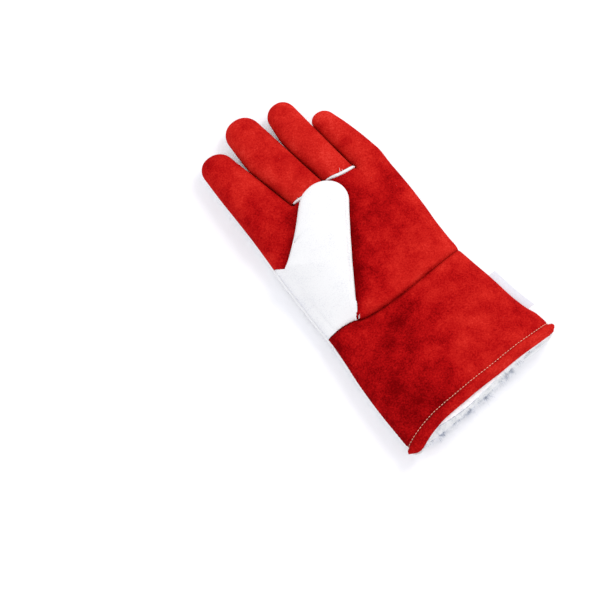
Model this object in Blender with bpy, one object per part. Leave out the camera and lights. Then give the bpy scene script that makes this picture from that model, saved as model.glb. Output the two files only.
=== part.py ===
"""Fire-resistant work glove for the left hand, lying palm up on a flat surface.

Metres. +Y runs from the cuff's hem to the fingertips, +X away from the thumb, +Z up out of the palm.
The glove rests on z = 0, and the origin lies under the middle of its box.

Each piece is cut from one hide or fleece: a sheet with an outer skin, an inner skin one thickness
deeper, and the cut edge between them. The pieces of the palm side and of the back meet along a
level side seam. Lengths in the tables are shares of the named sizes.
"""
import bmesh
import bpy
import numpy as np

# Sheet thicknesses, and the gap that stands for a seam
LEATHER = 0.0015
FLEECE = 0.0035
SEAM_GAP = 0.0003

# Body of the glove, from the hem to the knuckles
CUFF_LENGTH = 0.118
PALM_LENGTH = 0.134
HEM_WIDTH = 0.178
WRIST_WIDTH = 0.153
KNUCKLE_WIDTH = 0.1525
WRIST_LEAN = -0.0035
KNUCKLE_LEAN = 0.0042
SEAM_HEIGHT = 0.011
CUFF_HEIGHT = 0.031
WRIST_HEIGHT = 0.027
PALM_HEIGHT = 0.028
SIDE_ROUND = 0.024
SIDE_BULGE = 0.005
WRIST_CREASE = 0.002
WRIST_CREASE_REACH = 0.006

# Turned hem, and the fleece that stands out of the cuff
HEM_TURN = 0.012
HEM_FOLD = 0.0006
HEM_PUFF = 0.0012
BACK_LIP = 0.004
LINING_STANDS_OUT_TOP = 0.002
LINING_STANDS_OUT_BELOW = 0.006

# Fingers
FINGER_HEIGHT = 0.0265
INDEX_LENGTH = 0.095
MIDDLE_LENGTH = 0.1075
RING_LENGTH = 0.100
LITTLE_LENGTH = 0.0715
FINGER_GAP = 0.0006
WEB_REACH = 0.024
WELT_WIDTH = 0.0036
WELT_PROUD = 0.001
WELT_BOW = 0.0025

# Thumb, folded over the palm
THUMB_LENGTH = 0.115
THUMB_WIDTH = 0.050
THUMB_TURN = np.radians(38.6)
THUMB_CLEARANCE = 0.0005
THUMB_EDGE_LIFT = 0.008
THUMB_BASE_LIFT = 0.0045
THUMB_CROWN = 0.010

# Label tab in the cuff's side seam
LABEL_LENGTH = 0.048
LABEL_WIDTH = 0.008
LABEL_THICKNESS = 0.0009
LABEL_FROM_HEM = 0.033

# How finely the sheets are cut into faces
STRIP_COLUMNS = 6
CUFF_COLUMNS = 20
CUFF_ROWS = 7
FINGER_ROWS = 9
WEB_ROWS = 5
THUMB_COLUMNS = 6
THUMB_BASE_ROWS = 4
THUMB_WEB_COLUMNS = 2


class Table:
    """Rows of named columns, read as smooth curves over the first column."""

    def __init__(self, columns, *rows):
        names = columns.split()
        self.columns = {name: np.array([row[k] for row in rows], float) for k, name in enumerate(names)}
        self.stations = self.columns[names[0]]

    def read(self, column, at):
        """Value of a column at a station, with no overshoot between the rows."""
        stations, values = self.stations, self.columns[column]
        secants = np.diff(values) / np.diff(stations)
        before, after = secants[:-1], secants[1:]
        same_way = before * after > 0
        slopes = np.where(same_way, 2 * before * after / np.where(same_way, before + after, 1), 0)
        slopes = np.concatenate((secants[:1], slopes, secants[-1:]))
        at = np.clip(at, stations[0], stations[-1])
        k = np.clip(np.searchsorted(stations, at, side="right") - 1, 0, len(stations) - 2)
        step = stations[k + 1] - stations[k]
        t = (at - stations[k]) / step
        start = values[k] * (1 + 2 * t) + slopes[k] * step * t
        end = values[k + 1] * (3 - 2 * t) - slopes[k + 1] * step * (1 - t)
        return start * (1 - t) ** 2 + end * t ** 2


# Share of the way from the hem's edge to the wrist's edge, from the hem (0) to the wrist (1)
CUFF_EDGES = Table("along left right",
                   (0.00, 0.00, 0.00),
                   (0.10, 0.02, 0.05),
                   (0.20, 0.05, 0.13),
                   (0.30, 0.08, 0.37),
                   (0.45, 0.18, 0.56),
                   (0.65, 0.42, 0.69),
                   (0.85, 0.78, 0.88),
                   (1.00, 1.00, 1.00))

# Share of the way from the wrist's edge to the knuckles' edge
PALM_EDGES = Table("along left right",
                   (0.00, 0.00, 0.00),
                   (0.25, 0.15, 0.27),
                   (0.40, 0.27, 0.60),
                   (0.62, 0.50, 0.93),
                   (0.80, 0.75, 1.04),
                   (0.90, 0.88, 1.06),
                   (1.00, 1.00, 1.00))

# Wrist seam, from the thumb's side (-1) to the other (1), as a share of the cuff's length
WRIST_LINE = Table("across along",
                   (-1.00, 1.070),
                   (-0.87, 1.068),
                   (-0.62, 1.042),
                   (-0.54, 1.010),
                   (-0.30, 0.985),
                   (0.00, 0.975),
                   (0.50, 0.985),
                   (1.00, 1.000))

# How far the back bulges past each side seam, from the hem (0) to the knuckles (1)
BULGES = Table("along left right",
               (0.00, 0.20, 0.40),
               (0.20, 0.20, 0.60),
               (0.35, 0.30, 1.00),
               (0.60, 0.60, 1.00),
               (0.78, 0.60, 0.20),
               (1.00, 0.25, 0.10))

# Edge of the palm's thumb hole: share of the palm's width taken off at the thumb's side
THUMB_HOLE = Table("along across",
                   (0.00, 0.203),
                   (0.30, 0.134),
                   (0.65, 0.066),
                   (0.69, 0.000))
FOLD_STATION = 0.65
HOLE_END_STATION = 0.69

# Finger roots: share of the knuckles' width, share of the palm's length, and how the gap leans
ROOTS = Table("number across along lean",
              (0, 0.000, 0.985, 0.00),
              (1, 0.328, 0.985, -0.16),
              (2, 0.584, 1.007, -0.085),
              (3, 0.797, 0.948, 0.02),
              (4, 1.000, 0.948, 0.00))

# Edges of each finger as shares of its root's width, and its rise, from root (0) to tip (1)
FINGERS = {
    "index": (INDEX_LENGTH, Table("along left right rise",
                                  (0.00, 0.00, 1.00, 1.00),
                                  (0.25, 0.02, 0.92, 0.97),
                                  (0.55, 0.04, 0.83, 0.88),
                                  (0.80, 0.07, 0.75, 0.78),
                                  (1.00, 0.09, 0.71, 0.68))),
    "middle": (MIDDLE_LENGTH, Table("along left right rise",
                                    (0.00, 0.00, 1.00, 1.00),
                                    (0.25, -0.12, 0.96, 0.95),
                                    (0.50, -0.22, 0.90, 0.88),
                                    (0.80, -0.17, 0.80, 0.80),
                                    (1.00, -0.13, 0.76, 0.70))),
    "ring": (RING_LENGTH, Table("along left right rise",
                                (0.00, 0.00, 1.00, 1.00),
                                (0.25, -0.07, 1.02, 0.95),
                                (0.60, -0.13, 1.05, 0.88),
                                (0.80, -0.06, 1.04, 0.80),
                                (1.00, 0.05, 1.01, 0.70))),
    "little": (LITTLE_LENGTH, Table("along left right rise",
                                    (0.00, 0.00, 1.00, 1.00),
                                    (0.30, 0.02, 0.96, 0.88),
                                    (0.60, 0.04, 0.85, 0.76),
                                    (0.80, 0.05, 0.74, 0.68),
                                    (1.00, 0.05, 0.63, 0.60))),
}
STRIPS = list(FINGERS)

# Edges of the free thumb as shares of its width, from the start of its axis (0) to the tip (1)
THUMB = Table("along left right",
              (0.30, -0.65, 0.60),
              (0.42, -0.54, 0.58),
              (0.60, -0.45, 0.57),
              (0.80, -0.37, 0.56),
              (1.00, -0.24, 0.56))
FREE_STATION = 0.30
FREE_OPENING = 0.15
FOLD_SHARE = 0.3

# Soft dents in the palm side: place, reach and depth as shares of width, length, palm and rise
DENTS = ((0.66, 0.56, 0.11, 0.07),
         (0.80, 0.40, 0.10, -0.04),
         (0.45, 0.20, 0.12, 0.05),
         (0.75, 0.18, 0.10, 0.05),
         (0.25, 0.12, 0.10, -0.04))

# Body arch over the palm, arch over a finger at its root and at its tip, tip's outline
BODY_FULLNESS = 2.5
ROOT_FULLNESS = 3.0
TIP_FULLNESS = 2.2
TIP_OUTLINE = 2.2
FINGER_FLAT = 0.35
JUST_PAST_ROOT = 1 + 1e-9
WELT_ENDS = 4


def mix(low, high, share):
    return low + (high - low) * share


def ease(share):
    share = np.clip(share, 0, 1)
    return share * share * (3 - 2 * share)


def arch(place, fullness):
    """1 over the middle (0), falling steeply to 0 at the edges (-1 and 1)."""
    return np.clip(1 - np.abs(place) ** fullness, 0, 1) ** (1 / fullness)


def tub(place, flat):
    """1 over the flat share of the middle, then a quarter round to 0 at the edges."""
    beyond = np.clip((np.abs(place) - flat) / (1 - flat), 0, 1)
    return np.sqrt(1 - beyond ** 2)


def close_at_edges(count):
    """Shares from 0 to 1 that lie closer together near both ends."""
    return (1 - np.cos(np.linspace(0, np.pi, count + 1))) / 2


def points(x, y, z):
    return np.stack(np.broadcast_arrays(x, y, z), axis=-1)


def side_seams(y):
    """Where the left and the right side seam lie at y."""
    cuff = y / CUFF_LENGTH
    palm = (y - CUFF_LENGTH) / PALM_LENGTH
    seams = []
    for side, name in ((-1, "left"), (1, "right")):
        hem = side * HEM_WIDTH / 2
        wrist = WRIST_LEAN + side * WRIST_WIDTH / 2
        knuckle = KNUCKLE_LEAN + side * KNUCKLE_WIDTH / 2
        in_cuff = mix(hem, wrist, CUFF_EDGES.read(name, cuff))
        seams.append(in_cuff + (knuckle - wrist) * PALM_EDGES.read(name, palm))
    return seams


def wrist_line(across):
    """y of the wrist seam at a place across the glove, from -1 to 1."""
    return CUFF_LENGTH * WRIST_LINE.read("along", across)


def root_line(strip, across):
    """y of a finger's root at a share across its strip."""
    left, right = CUFF_LENGTH + PALM_LENGTH * ROOTS.columns["along"][strip:strip + 2]
    bow = WELT_BOW if STRIPS[strip] in ("middle", "ring") else 0
    return mix(left, right, across) - 4 * bow * across * (1 - across)


def crown_height(y):
    """Height of the palm side's middle at y."""
    cuff = ease(y / CUFF_LENGTH)
    palm = ease(2 * (y - CUFF_LENGTH) / PALM_LENGTH)
    return mix(mix(CUFF_HEIGHT, WRIST_HEIGHT, cuff), PALM_HEIGHT, palm)


def dent_depth(x, y):
    """Share of its rise that the palm side loses to the wrist's crease and the soft dents."""
    left, right = side_seams(y)
    middle, half = (left + right) / 2, (right - left) / 2
    from_crease = (y - wrist_line((x - middle) / half)) / WRIST_CREASE_REACH
    loss = WRIST_CREASE / (WRIST_HEIGHT - SEAM_HEIGHT) * np.exp(-from_crease ** 2)
    for dent_across, dent_along, reach, depth in DENTS:
        x_away = (x - mix(left, right, dent_across)) / KNUCKLE_WIDTH
        y_away = (y - dent_along * (CUFF_LENGTH + PALM_LENGTH)) / KNUCKLE_WIDTH
        loss = loss + depth * np.exp(-(x_away ** 2 + y_away ** 2) / reach ** 2)
    return loss


def top_rise(x, y, depth):
    """How far the palm side stands above the side seam."""
    left, right = side_seams(y)
    middle, half = (left + right) / 2, (right - left) / 2
    rise = crown_height(y) - SEAM_HEIGHT
    return (rise * (1 - dent_depth(x, y)) - depth) * arch((x - middle) / (half - depth), BODY_FULLNESS)


def top_height(x, y, depth=0.0):
    """Height of the palm side, with its wrist crease and dents, at a plan point of the body."""
    return SEAM_HEIGHT + SEAM_GAP / 2 + top_rise(x, y, depth)


def back_drop(across, y):
    """Share of the seam's height that the back hangs below the side seam."""
    left, right = side_seams(y)
    return tub(across, 1 - 2 * SIDE_ROUND / (right - left))


def bulge_out(x, y, z, across, left_share, right_share):
    """Push the back's sides out between the seam and the floor."""
    level = np.clip((SEAM_HEIGHT - z) / SEAM_HEIGHT, 0, 1)
    side = np.where(across < 0, -left_share, right_share) * np.abs(across) ** 4
    return x + side * SIDE_BULGE * np.sin(np.pi * level)


def body_bulges(y):
    along = y / (CUFF_LENGTH + PALM_LENGTH)
    return BULGES.read("left", along), BULGES.read("right", along)


def finger_edges(strip, along, root_across=None):
    """Left and right edge of a finger, kept off its neighbours, with its tip's y and root's y."""
    length, shape = FINGERS[STRIPS[strip]]
    share = ROOTS.columns["across"][strip:strip + 2]
    corner = CUFF_LENGTH + PALM_LENGTH * ROOTS.columns["along"][strip:strip + 2]
    left_root, right_root = (mix(*side_seams(corner[k]), share[k]) for k in (0, 1))
    width = right_root - left_root
    tip = corner.mean() + length
    left = left_root + width * shape.read("left", along)
    right = left_root + width * shape.read("right", along)
    gap = FINGER_GAP / 2 * ease(10 * along)
    lean = ROOTS.columns["lean"]
    if strip > 0:
        parting = left_root + lean[strip] * along * (tip - corner[0])
        left = np.maximum(left, parting + gap)
    if strip < len(STRIPS) - 1:
        parting = right_root + lean[strip + 1] * along * (tip - corner[1])
        right = np.minimum(right, parting - gap)
    return left, right, tip


def tip_round(strip, along):
    """Share of a finger's width and height that is left at a station, 0 at its tip."""
    length, _ = FINGERS[STRIPS[strip]]
    left, right, _ = finger_edges(strip, 1.0)
    start = 1 - (right - left) / 2 / length
    return arch(np.clip((along - start) / (1 - start), 0, 1), TIP_OUTLINE)


def skin(strip, across, along, depth, palm_side, hole=False, inset=0.0):
    """Points of the palm side or the back along one finger's strip.

    across runs from 0 to 1 over the strip. along is 0 at the wrist, 1 at the root, 2 at the tip.
    depth is how far the skin lies under the glove's outer face. hole cuts the thumb hole, and
    inset draws a finger's edges in.
    """
    share = ROOTS.columns["across"][strip:strip + 2]
    last = len(STRIPS) - 1
    in_palm = np.clip(along, 0, 1)
    up_finger = np.clip(along - 1, 0, 1)
    left_end = np.maximum(share[0], THUMB_HOLE.read("across", in_palm)) if hole else share[0]
    body_share = mix(left_end, share[1], across)
    body_across = 2 * body_share - 1
    place = 2 * across - 1

    # Interior borders drop to the seam as a web in front of each crotch
    web = np.clip(1 - (1 - in_palm) * PALM_LENGTH / WEB_REACH, 0, 1)
    inner_place = np.clip(place, 0 if strip == 0 else -1, 0 if strip == last else 1)
    outer_place = place - inner_place

    wrist = wrist_line(body_across) if palm_side else np.full_like(body_across, CUFF_LENGTH)
    root = root_line(strip, across)
    setback = depth * web * np.abs(inner_place) ** 3
    y_body = mix(wrist + SEAM_GAP / 2, root, in_palm) - setback
    blend = ease(web)
    drawn_in = inner_place * (1 - inner_place ** 8) + outer_place
    x_body = mix(*side_seams(y_body), body_share) - depth * mix(body_across, drawn_in, blend)
    x_body = x_body - setback * mix(*ROOTS.columns["lean"][strip:strip + 2], across)

    edge_left, edge_right, tip = finger_edges(strip, up_finger)
    tip_share = tip_round(strip, up_finger)
    middle, half = (edge_left + edge_right) / 2, (edge_right - edge_left) / 2
    x_finger = middle + (half - depth - inset) * tip_share * place
    y_finger = mix(root, tip - depth, up_finger)

    finger_rise = (FINGER_HEIGHT - SEAM_HEIGHT) * FINGERS[STRIPS[strip]][1].read("rise", up_finger)
    if palm_side:
        fullness = mix(ROOT_FULLNESS, TIP_FULLNESS, up_finger)
        side = arch(outer_place, fullness)
        body = top_rise(x_body, y_body, depth)
        rise = mix(body, (finger_rise - depth) * side, blend) * arch(web * inner_place, fullness)
        z = SEAM_HEIGHT + SEAM_GAP / 2 + rise * tip_share
    else:
        side = tub(outer_place, FINGER_FLAT)
        drop = mix(back_drop(body_across, y_body), side, blend) * tub(web * inner_place, FINGER_FLAT)
        z = SEAM_HEIGHT - SEAM_GAP / 2 - (SEAM_HEIGHT - SEAM_GAP / 2 - depth) * drop * tip_share
        left_share, right_share = body_bulges(y_body)
        if strip == 0:
            x_finger = bulge_out(x_finger, y_finger, z, np.minimum(place, 0), left_share, 0)
        if strip == last:
            x_finger = bulge_out(x_finger, y_finger, z, np.maximum(place, 0), 0, right_share)
        x_body = bulge_out(x_body, y_body, z, body_across, left_share, right_share)
    in_finger = along > 1
    return points(np.where(in_finger, x_finger, x_body), np.where(in_finger, y_finger, y_body), z)


class Sheet:
    """One cut piece: quads laid between an outer and an inner skin, closed along its cut edge."""

    def __init__(self):
        self.numbers = {}
        self.outer = []
        self.inner = []
        self.faces = []

    def number(self, outer, inner):
        """Number of a point of the sheet. Points that fall together are one point."""
        key = tuple(np.round(np.concatenate((outer, inner)) * 1e5).astype(int))
        if key not in self.numbers:
            self.numbers[key] = len(self.outer)
            self.outer.append(outer)
            self.inner.append(inner)
        return self.numbers[key]

    def lay(self, outer, inner):
        """Add a patch whose grids of points run over its rows and columns."""
        rows, columns = outer.shape[:2]
        numbers = [[self.number(outer[r, c], inner[r, c]) for c in range(columns)] for r in range(rows)]
        for r in range(rows - 1):
            for c in range(columns - 1):
                corners = (numbers[r][c], numbers[r][c + 1], numbers[r + 1][c + 1], numbers[r + 1][c])
                face = list(dict.fromkeys(corners))
                if len(face) > 2:
                    self.faces.append(face)

    def sew(self, name, material):
        """Make the object: both skins, and a strip of faces along every cut edge."""
        mesh = bmesh.new()
        outer = [mesh.verts.new(point) for point in self.outer]
        inner = [mesh.verts.new(point) for point in self.inner]
        edges = {(face[k - 1], face[k]) for face in self.faces for k in range(len(face))}
        for face in self.faces:
            mesh.faces.new([outer[k] for k in face])
            mesh.faces.new([inner[k] for k in reversed(face)])
        for start, end in edges:
            if (end, start) not in edges:
                mesh.faces.new((outer[end], outer[start], inner[start], inner[end]))
        return add_object(name, mesh, material)


def add_object(name, mesh, material):
    """Turn a closed bmesh into a named object with its faces pointing out."""
    bmesh.ops.recalc_face_normals(mesh, faces=mesh.faces)
    data = bpy.data.meshes.new(name)
    mesh.to_mesh(data)
    mesh.free()
    data.materials.append(material)
    data.shade_smooth()
    data.set_sharp_from_angle(angle=np.radians(50))
    piece = bpy.data.objects.new(name, data)
    bpy.context.scene.collection.objects.link(piece)
    return piece


def make_material(name, colour, roughness):
    material = bpy.data.materials.new(name)
    material.use_nodes = True
    shader = material.node_tree.nodes["Principled BSDF"]
    shader.inputs["Base Color"].default_value = (*colour, 1)
    shader.inputs["Roughness"].default_value = roughness
    shader.inputs["Metallic"].default_value = 0
    return material


def strip_grids(strip, columns, rows, palm_side, hole=False, slot=0.0):
    """Outer and inner grid of points over one strip. slot draws its end back from the root."""
    across, along = np.meshgrid(columns, rows)
    web = np.clip(1 - (1 - along) * PALM_LENGTH / WEB_REACH, 0, 1)
    grids = []
    for depth in (0.0, LEATHER):
        grid = skin(strip, across, along, depth, palm_side, hole)
        grid[:, :, 1] -= slot * web ** 2
        grids.append(grid)
    return grids


def palm_rows():
    """Stations from the wrist to the roots, close together in the webs before the crotches."""
    web = WEB_REACH / PALM_LENGTH
    plain = [0, 0.05, 0.16, 0.32, 0.48, FOLD_STATION, HOLE_END_STATION]
    in_web = 1 - web * (1 - np.sin(np.linspace(0, np.pi / 2, WEB_ROWS + 1)))
    return np.concatenate((plain, in_web))


def finger_rows():
    """Stations from the root to the tip, close together at the tip."""
    return 1 + np.sin(np.linspace(0, np.pi / 2, FINGER_ROWS + 1))


def welt_half(across):
    """Half of the slot that the welt fills at a share across a finger's root."""
    return WELT_WIDTH / 2 * arch(2 * across - 1, WELT_ENDS)


def make_palm_panel(suede):
    """Palm with the fronts of the index and little finger, cut away for the thumb and two fingers."""
    sheet = Sheet()
    columns = close_at_edges(STRIP_COLUMNS)
    for strip, finger in enumerate(STRIPS):
        welted = finger in ("middle", "ring")
        slot = welt_half(columns) if welted else 0.0
        sheet.lay(*strip_grids(strip, columns, palm_rows(), True, hole=strip == 0, slot=slot))
        if not welted:
            sheet.lay(*strip_grids(strip, columns, finger_rows(), True))
    return sheet.sew("palm_panel", suede)


def make_finger_front(strip, suede):
    """Front of the middle or the ring finger, sewn on past the welt."""
    sheet = Sheet()
    columns = close_at_edges(STRIP_COLUMNS)
    across, along = np.meshgrid(columns, finger_rows())
    slide = (welt_half(across) + SEAM_GAP) * (1 - ease(4 * (along - 1)))
    grids = []
    for depth in (0.0, LEATHER):
        grid = skin(strip, across, np.maximum(along, JUST_PAST_ROOT), depth, True, inset=SEAM_GAP)
        grid[:, :, 1] += slide
        grids.append(grid)
    sheet.lay(*grids)
    return sheet.sew(STRIPS[strip] + "_finger_front", suede)


def make_welt(strip, leather):
    """Narrow strip of hide that stands out of the seam at a finger's root."""
    columns = np.linspace(0.06, 0.94, 2 * STRIP_COLUMNS)
    mesh = bmesh.new()
    rings = []
    profile = ((-1, LEATHER), (-1, -WELT_PROUD / 2), (0, -WELT_PROUD), (1, -WELT_PROUD / 2), (1, LEATHER))
    for across in columns:
        half = welt_half(across) - SEAM_GAP / 2
        ring = []
        for side, depth in profile:
            x, _, z = skin(strip, np.array(across), np.array(JUST_PAST_ROOT), depth, True)
            ring.append(mesh.verts.new((x, root_line(strip, across) + SEAM_GAP / 2 + side * half, z)))
        rings.append(ring)
    for ring, following in zip(rings, rings[1:]):
        for k in range(len(profile)):
            mesh.faces.new((ring[k - 1], ring[k], following[k], following[k - 1]))
    mesh.faces.new(rings[0])
    mesh.faces.new(reversed(rings[-1]))
    return add_object(STRIPS[strip] + "_finger_welt", mesh, leather)


def make_back_panel(leather):
    """Back of the hand with the backs of all four fingers, flat where it rests."""
    sheet = Sheet()
    columns = close_at_edges(STRIP_COLUMNS)
    for strip in range(len(STRIPS)):
        sheet.lay(*strip_grids(strip, columns, palm_rows(), False))
        sheet.lay(*strip_grids(strip, columns, finger_rows(), False))
    return sheet.sew("back_panel", leather)


def cuff_stations():
    """Distances from the hem of the cuff's rows, from the wrist to where the hem turns."""
    return mix(CUFF_LENGTH, HEM_TURN, np.linspace(0, 1, CUFF_ROWS + 1) ** 0.8)


def hem_path(puff):
    """Stations of the outer and the inner skin from the wrist, round the hem's fold, to its raw edge.

    Each station is a pair: how far from the hem's fold, and how deep under the outer face.
    """
    radius = LEATHER + HEM_FOLD / 2
    turn = np.linspace(0, 1, 5)[1:]
    outer = [(y, 0.0) for y in cuff_stations()]
    inner = [(y, LEATHER) for y in cuff_stations()]
    for share in turn[:-1]:
        y = mix(HEM_TURN, radius, share)
        outer.append((y, -puff * np.sin(np.pi * share)))
        inner.append((y, LEATHER - puff * np.sin(np.pi * share) / 2))
    for angle in np.linspace(0, np.pi, 5):
        outer.append((radius * (1 - np.sin(angle)), radius * (1 - np.cos(angle))))
        inner.append((radius - HEM_FOLD / 2 * np.sin(angle), radius - HEM_FOLD / 2 * np.cos(angle)))
    outer.append((HEM_TURN, 2 * radius))
    inner.append((HEM_TURN, LEATHER + HEM_FOLD))
    return outer, inner


def cuff_grid(path, across, end, lip, palm_side):
    """Points of a cuff piece along its hem path. end is its far edge, lip how far its hem stands out."""
    rows = []
    for away, depth in path:
        stretch = ease((away - HEM_TURN) / (CUFF_LENGTH - HEM_TURN))
        y = away - lip * (1 - stretch) + (end - CUFF_LENGTH) * stretch
        left, right = side_seams(y)
        x = mix(left + depth, right - depth, (across + 1) / 2)
        if palm_side:
            z = top_height(x, y, depth)
        else:
            z = SEAM_HEIGHT - SEAM_GAP / 2
            z = z - (z - depth) * back_drop(across, y)
            x = bulge_out(x, y, z, across, *body_bulges(y))
        rows.append(points(x, y, z))
    return np.array(rows)


def base_columns():
    """Shares of the palm's width of the thumb base's columns along the wrist, web then thumb."""
    corner = THUMB_HOLE.read("across", 0)
    web = mix(0, FOLD_SHARE * corner, thumb_web_shares())
    return web, mix(web[-1], corner, close_at_edges(THUMB_COLUMNS))


def thumb_web_shares():
    return np.linspace(0, 1, THUMB_WEB_COLUMNS + 1) ** 1.5


def wrist_columns():
    """Places across the wrist, from -1 to 1, where the thumb's base and the palm have columns."""
    web, base = base_columns()
    ends = np.concatenate((base[-1:], ROOTS.columns["across"][1:]))
    strips = [mix(low, high, close_at_edges(STRIP_COLUMNS)[1:]) for low, high in zip(ends, ends[1:])]
    return 2 * np.concatenate([web, base[1:]] + strips) - 1


def make_cuff_front(suede):
    """Front of the cuff, with its hem turned in. It meets the palm and the thumb's base."""
    sheet = Sheet()
    across = wrist_columns()
    end = wrist_line(across) - SEAM_GAP / 2
    sheet.lay(*(cuff_grid(path, across, end, 0.0, True) for path in hem_path(HEM_PUFF)))
    return sheet.sew("cuff_front", suede)


def make_cuff_back(leather):
    """Back of the cuff, with its hem turned in. Its lip stands out a little past the front."""
    sheet = Sheet()
    across = 2 * close_at_edges(CUFF_COLUMNS) - 1
    end = CUFF_LENGTH - SEAM_GAP / 2
    lip = BACK_LIP * arch(across, 2)
    sheet.lay(*(cuff_grid(path, across, end, lip, False) for path in hem_path(0.0)))
    return sheet.sew("cuff_back", leather)


def make_cuff_lining(fleece):
    """Sleeve of fleece inside the cuff. It stands out past the hem, furthest on the lower lip."""
    sheet = Sheet()
    cover = 2 * LEATHER + HEM_FOLD + SEAM_GAP
    over = wrist_columns()
    across = np.concatenate((over, over[::-1][1:]))
    lower = np.arange(len(across)) >= len(over)
    level = arch(across, 2)
    mouth = np.where(lower, -(BACK_LIP + LINING_STANDS_OUT_BELOW) * level, -LINING_STANDS_OUT_TOP * level)
    rows_y = [mouth] + [np.full_like(mouth, y) for y in cuff_stations()[:0:-1]]
    grids = []
    for depth in (cover, cover + FLEECE):
        rows = []
        for y in rows_y:
            left, right = side_seams(y)
            x = mix(left + depth, right - depth, (across + 1) / 2)
            rise = top_rise(x, y, depth)
            drop = (SEAM_HEIGHT - depth) * back_drop(across, y)
            rows.append(points(x, y, SEAM_HEIGHT + np.where(lower, -drop, rise)))
        grids.append(np.array(rows))
    sheet.lay(*grids)
    return sheet.sew("cuff_lining", fleece)


def palm_point(share, y):
    """Plan point at a share of the palm's width."""
    return np.array((mix(*side_seams(y), share), y))


def hole_edge(along):
    """Plan point on the edge of the palm's thumb hole."""
    x, y, _ = skin(0, np.array(0.0), np.array(along), 0.0, True, hole=True)
    return np.array((x, y))


def thumb_frame():
    """Start of the thumb's axis in plan, its direction, and the direction across it."""
    forward = np.array((np.sin(THUMB_TURN), np.cos(THUMB_TURN)))
    sideways = np.array((forward[1], -forward[0]))
    fold = hole_edge(FOLD_STATION)
    to_fold = FREE_STATION * THUMB_LENGTH * forward + THUMB.read("left", 0) * THUMB_WIDTH * sideways
    return fold - to_fold, forward, sideways


def thumb_edge(side, along):
    """Plan point on the left or right edge of the free thumb, before its tip is rounded."""
    start, forward, sideways = thumb_frame()
    return start + along * THUMB_LENGTH * forward + THUMB.read(side, along) * THUMB_WIDTH * sideways


def thumb_tip_round(along):
    """Share of the thumb's width and height that is left at a station, 0 at its tip."""
    width = (THUMB.read("right", 1) - THUMB.read("left", 1)) * THUMB_WIDTH
    start = 1 - width / 2 / THUMB_LENGTH
    return arch(np.clip((along - start) / (1 - start), 0, 1), TIP_OUTLINE)


def free_row(along, across, depth):
    """Plan points over the free thumb at a station, drawn in by depth."""
    left, right = thumb_edge("left", along), thumb_edge("right", along)
    middle, half = (left + right) / 2, (right - left) / 2
    half = half * (1 - depth / np.linalg.norm(half)) * thumb_tip_round(along)
    back_off = depth * ease((along - FREE_STATION) / (1 - FREE_STATION)) * thumb_frame()[1]
    return middle - back_off + np.outer(2 * across - 1, half)


def free_rows():
    """Stations over the free thumb, close together at its tip."""
    return mix(FREE_STATION, 1, np.sin(np.linspace(0, np.pi / 2, FINGER_ROWS)))


def thumb_lift(along):
    """Height of the free thumb's edge over the palm."""
    return mix(THUMB_BASE_LIFT, THUMB_EDGE_LIFT, ease((along - FREE_STATION) / FREE_OPENING))


def base_hang(along):
    """Share of its thickness that the thumb's back hangs below its edge: all at the base, then none."""
    return 1 - ease((along - FREE_STATION) / FREE_OPENING)


def base_plan(share):
    """Plan points of a row of the thumb's base, from the side seam over the fold to the right edge."""
    web, base = base_columns()
    along_wrist = np.concatenate((web, base[1:]))
    row = np.array([palm_point(k, wrist_line(2 * k - 1) + SEAM_GAP) for k in along_wrist])
    fold = hole_edge(FOLD_STATION) - np.array((0, SEAM_GAP))
    seam_end = hole_edge(HOLE_END_STATION) - np.array((0, 2 * SEAM_GAP))
    far_web = seam_end + np.outer(thumb_web_shares(), fold - seam_end)
    far_base = fold + np.outer(close_at_edges(THUMB_COLUMNS), thumb_edge("right", FREE_STATION) - fold)
    row = mix(row, np.concatenate((far_web, far_base[1:])), share)
    on_seam = palm_point(0.0, row[0, 1]) - row[0]
    row[:len(web)] += np.outer(1 - thumb_web_shares(), on_seam)
    return row


def make_thumb_back(leather):
    """Back of the thumb. Its base wraps the side of the hand from the wrist to the index finger."""
    sheet = Sheet()
    across = close_at_edges(THUMB_COLUMNS)
    web = thumb_web_shares()
    dome = np.concatenate((0 * web, arch(2 * across[1:] - 1, TIP_FULLNESS)))
    base_grids, free_grids = [], []
    for depth in (0.0, LEATHER):
        rows = []
        for share in np.linspace(0, 1, THUMB_BASE_ROWS + 1):
            row = base_plan(share)
            length = np.linalg.norm(row - row[0], axis=1) / np.linalg.norm(row[-1] - row[0])
            row = row + np.outer(depth * (1 - 2 * length), (row[-1] - row[0]) / np.linalg.norm(row[-1] - row[0]))
            fold_lift = THUMB_BASE_LIFT * share ** 2
            lift = np.concatenate((fold_lift * web ** 2, mix(fold_lift, THUMB_BASE_LIFT, across[1:])))
            z = top_height(row[:, 0], row[:, 1], depth) + lift + THUMB_CROWN * share ** 0.7 * dome
            rows.append(points(row[:, 0], row[:, 1], z))
        base_grids.append(np.array(rows))
        rows = [rows[-1][len(web) - 1:]]
        for along in free_rows()[1:]:
            row = free_row(along, across, depth)
            hang = depth * base_hang(along)
            crown = (THUMB_CROWN - depth + hang) * thumb_tip_round(along) * arch(2 * across - 1, TIP_FULLNESS)
            z = top_height(row[:, 0], row[:, 1], hang) + thumb_lift(along) + crown
            rows.append(points(row[:, 0], row[:, 1], z))
        free_grids.append(np.array(rows))
    sheet.lay(*base_grids)
    sheet.lay(*free_grids)
    return sheet.sew("thumb_back", leather)


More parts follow.
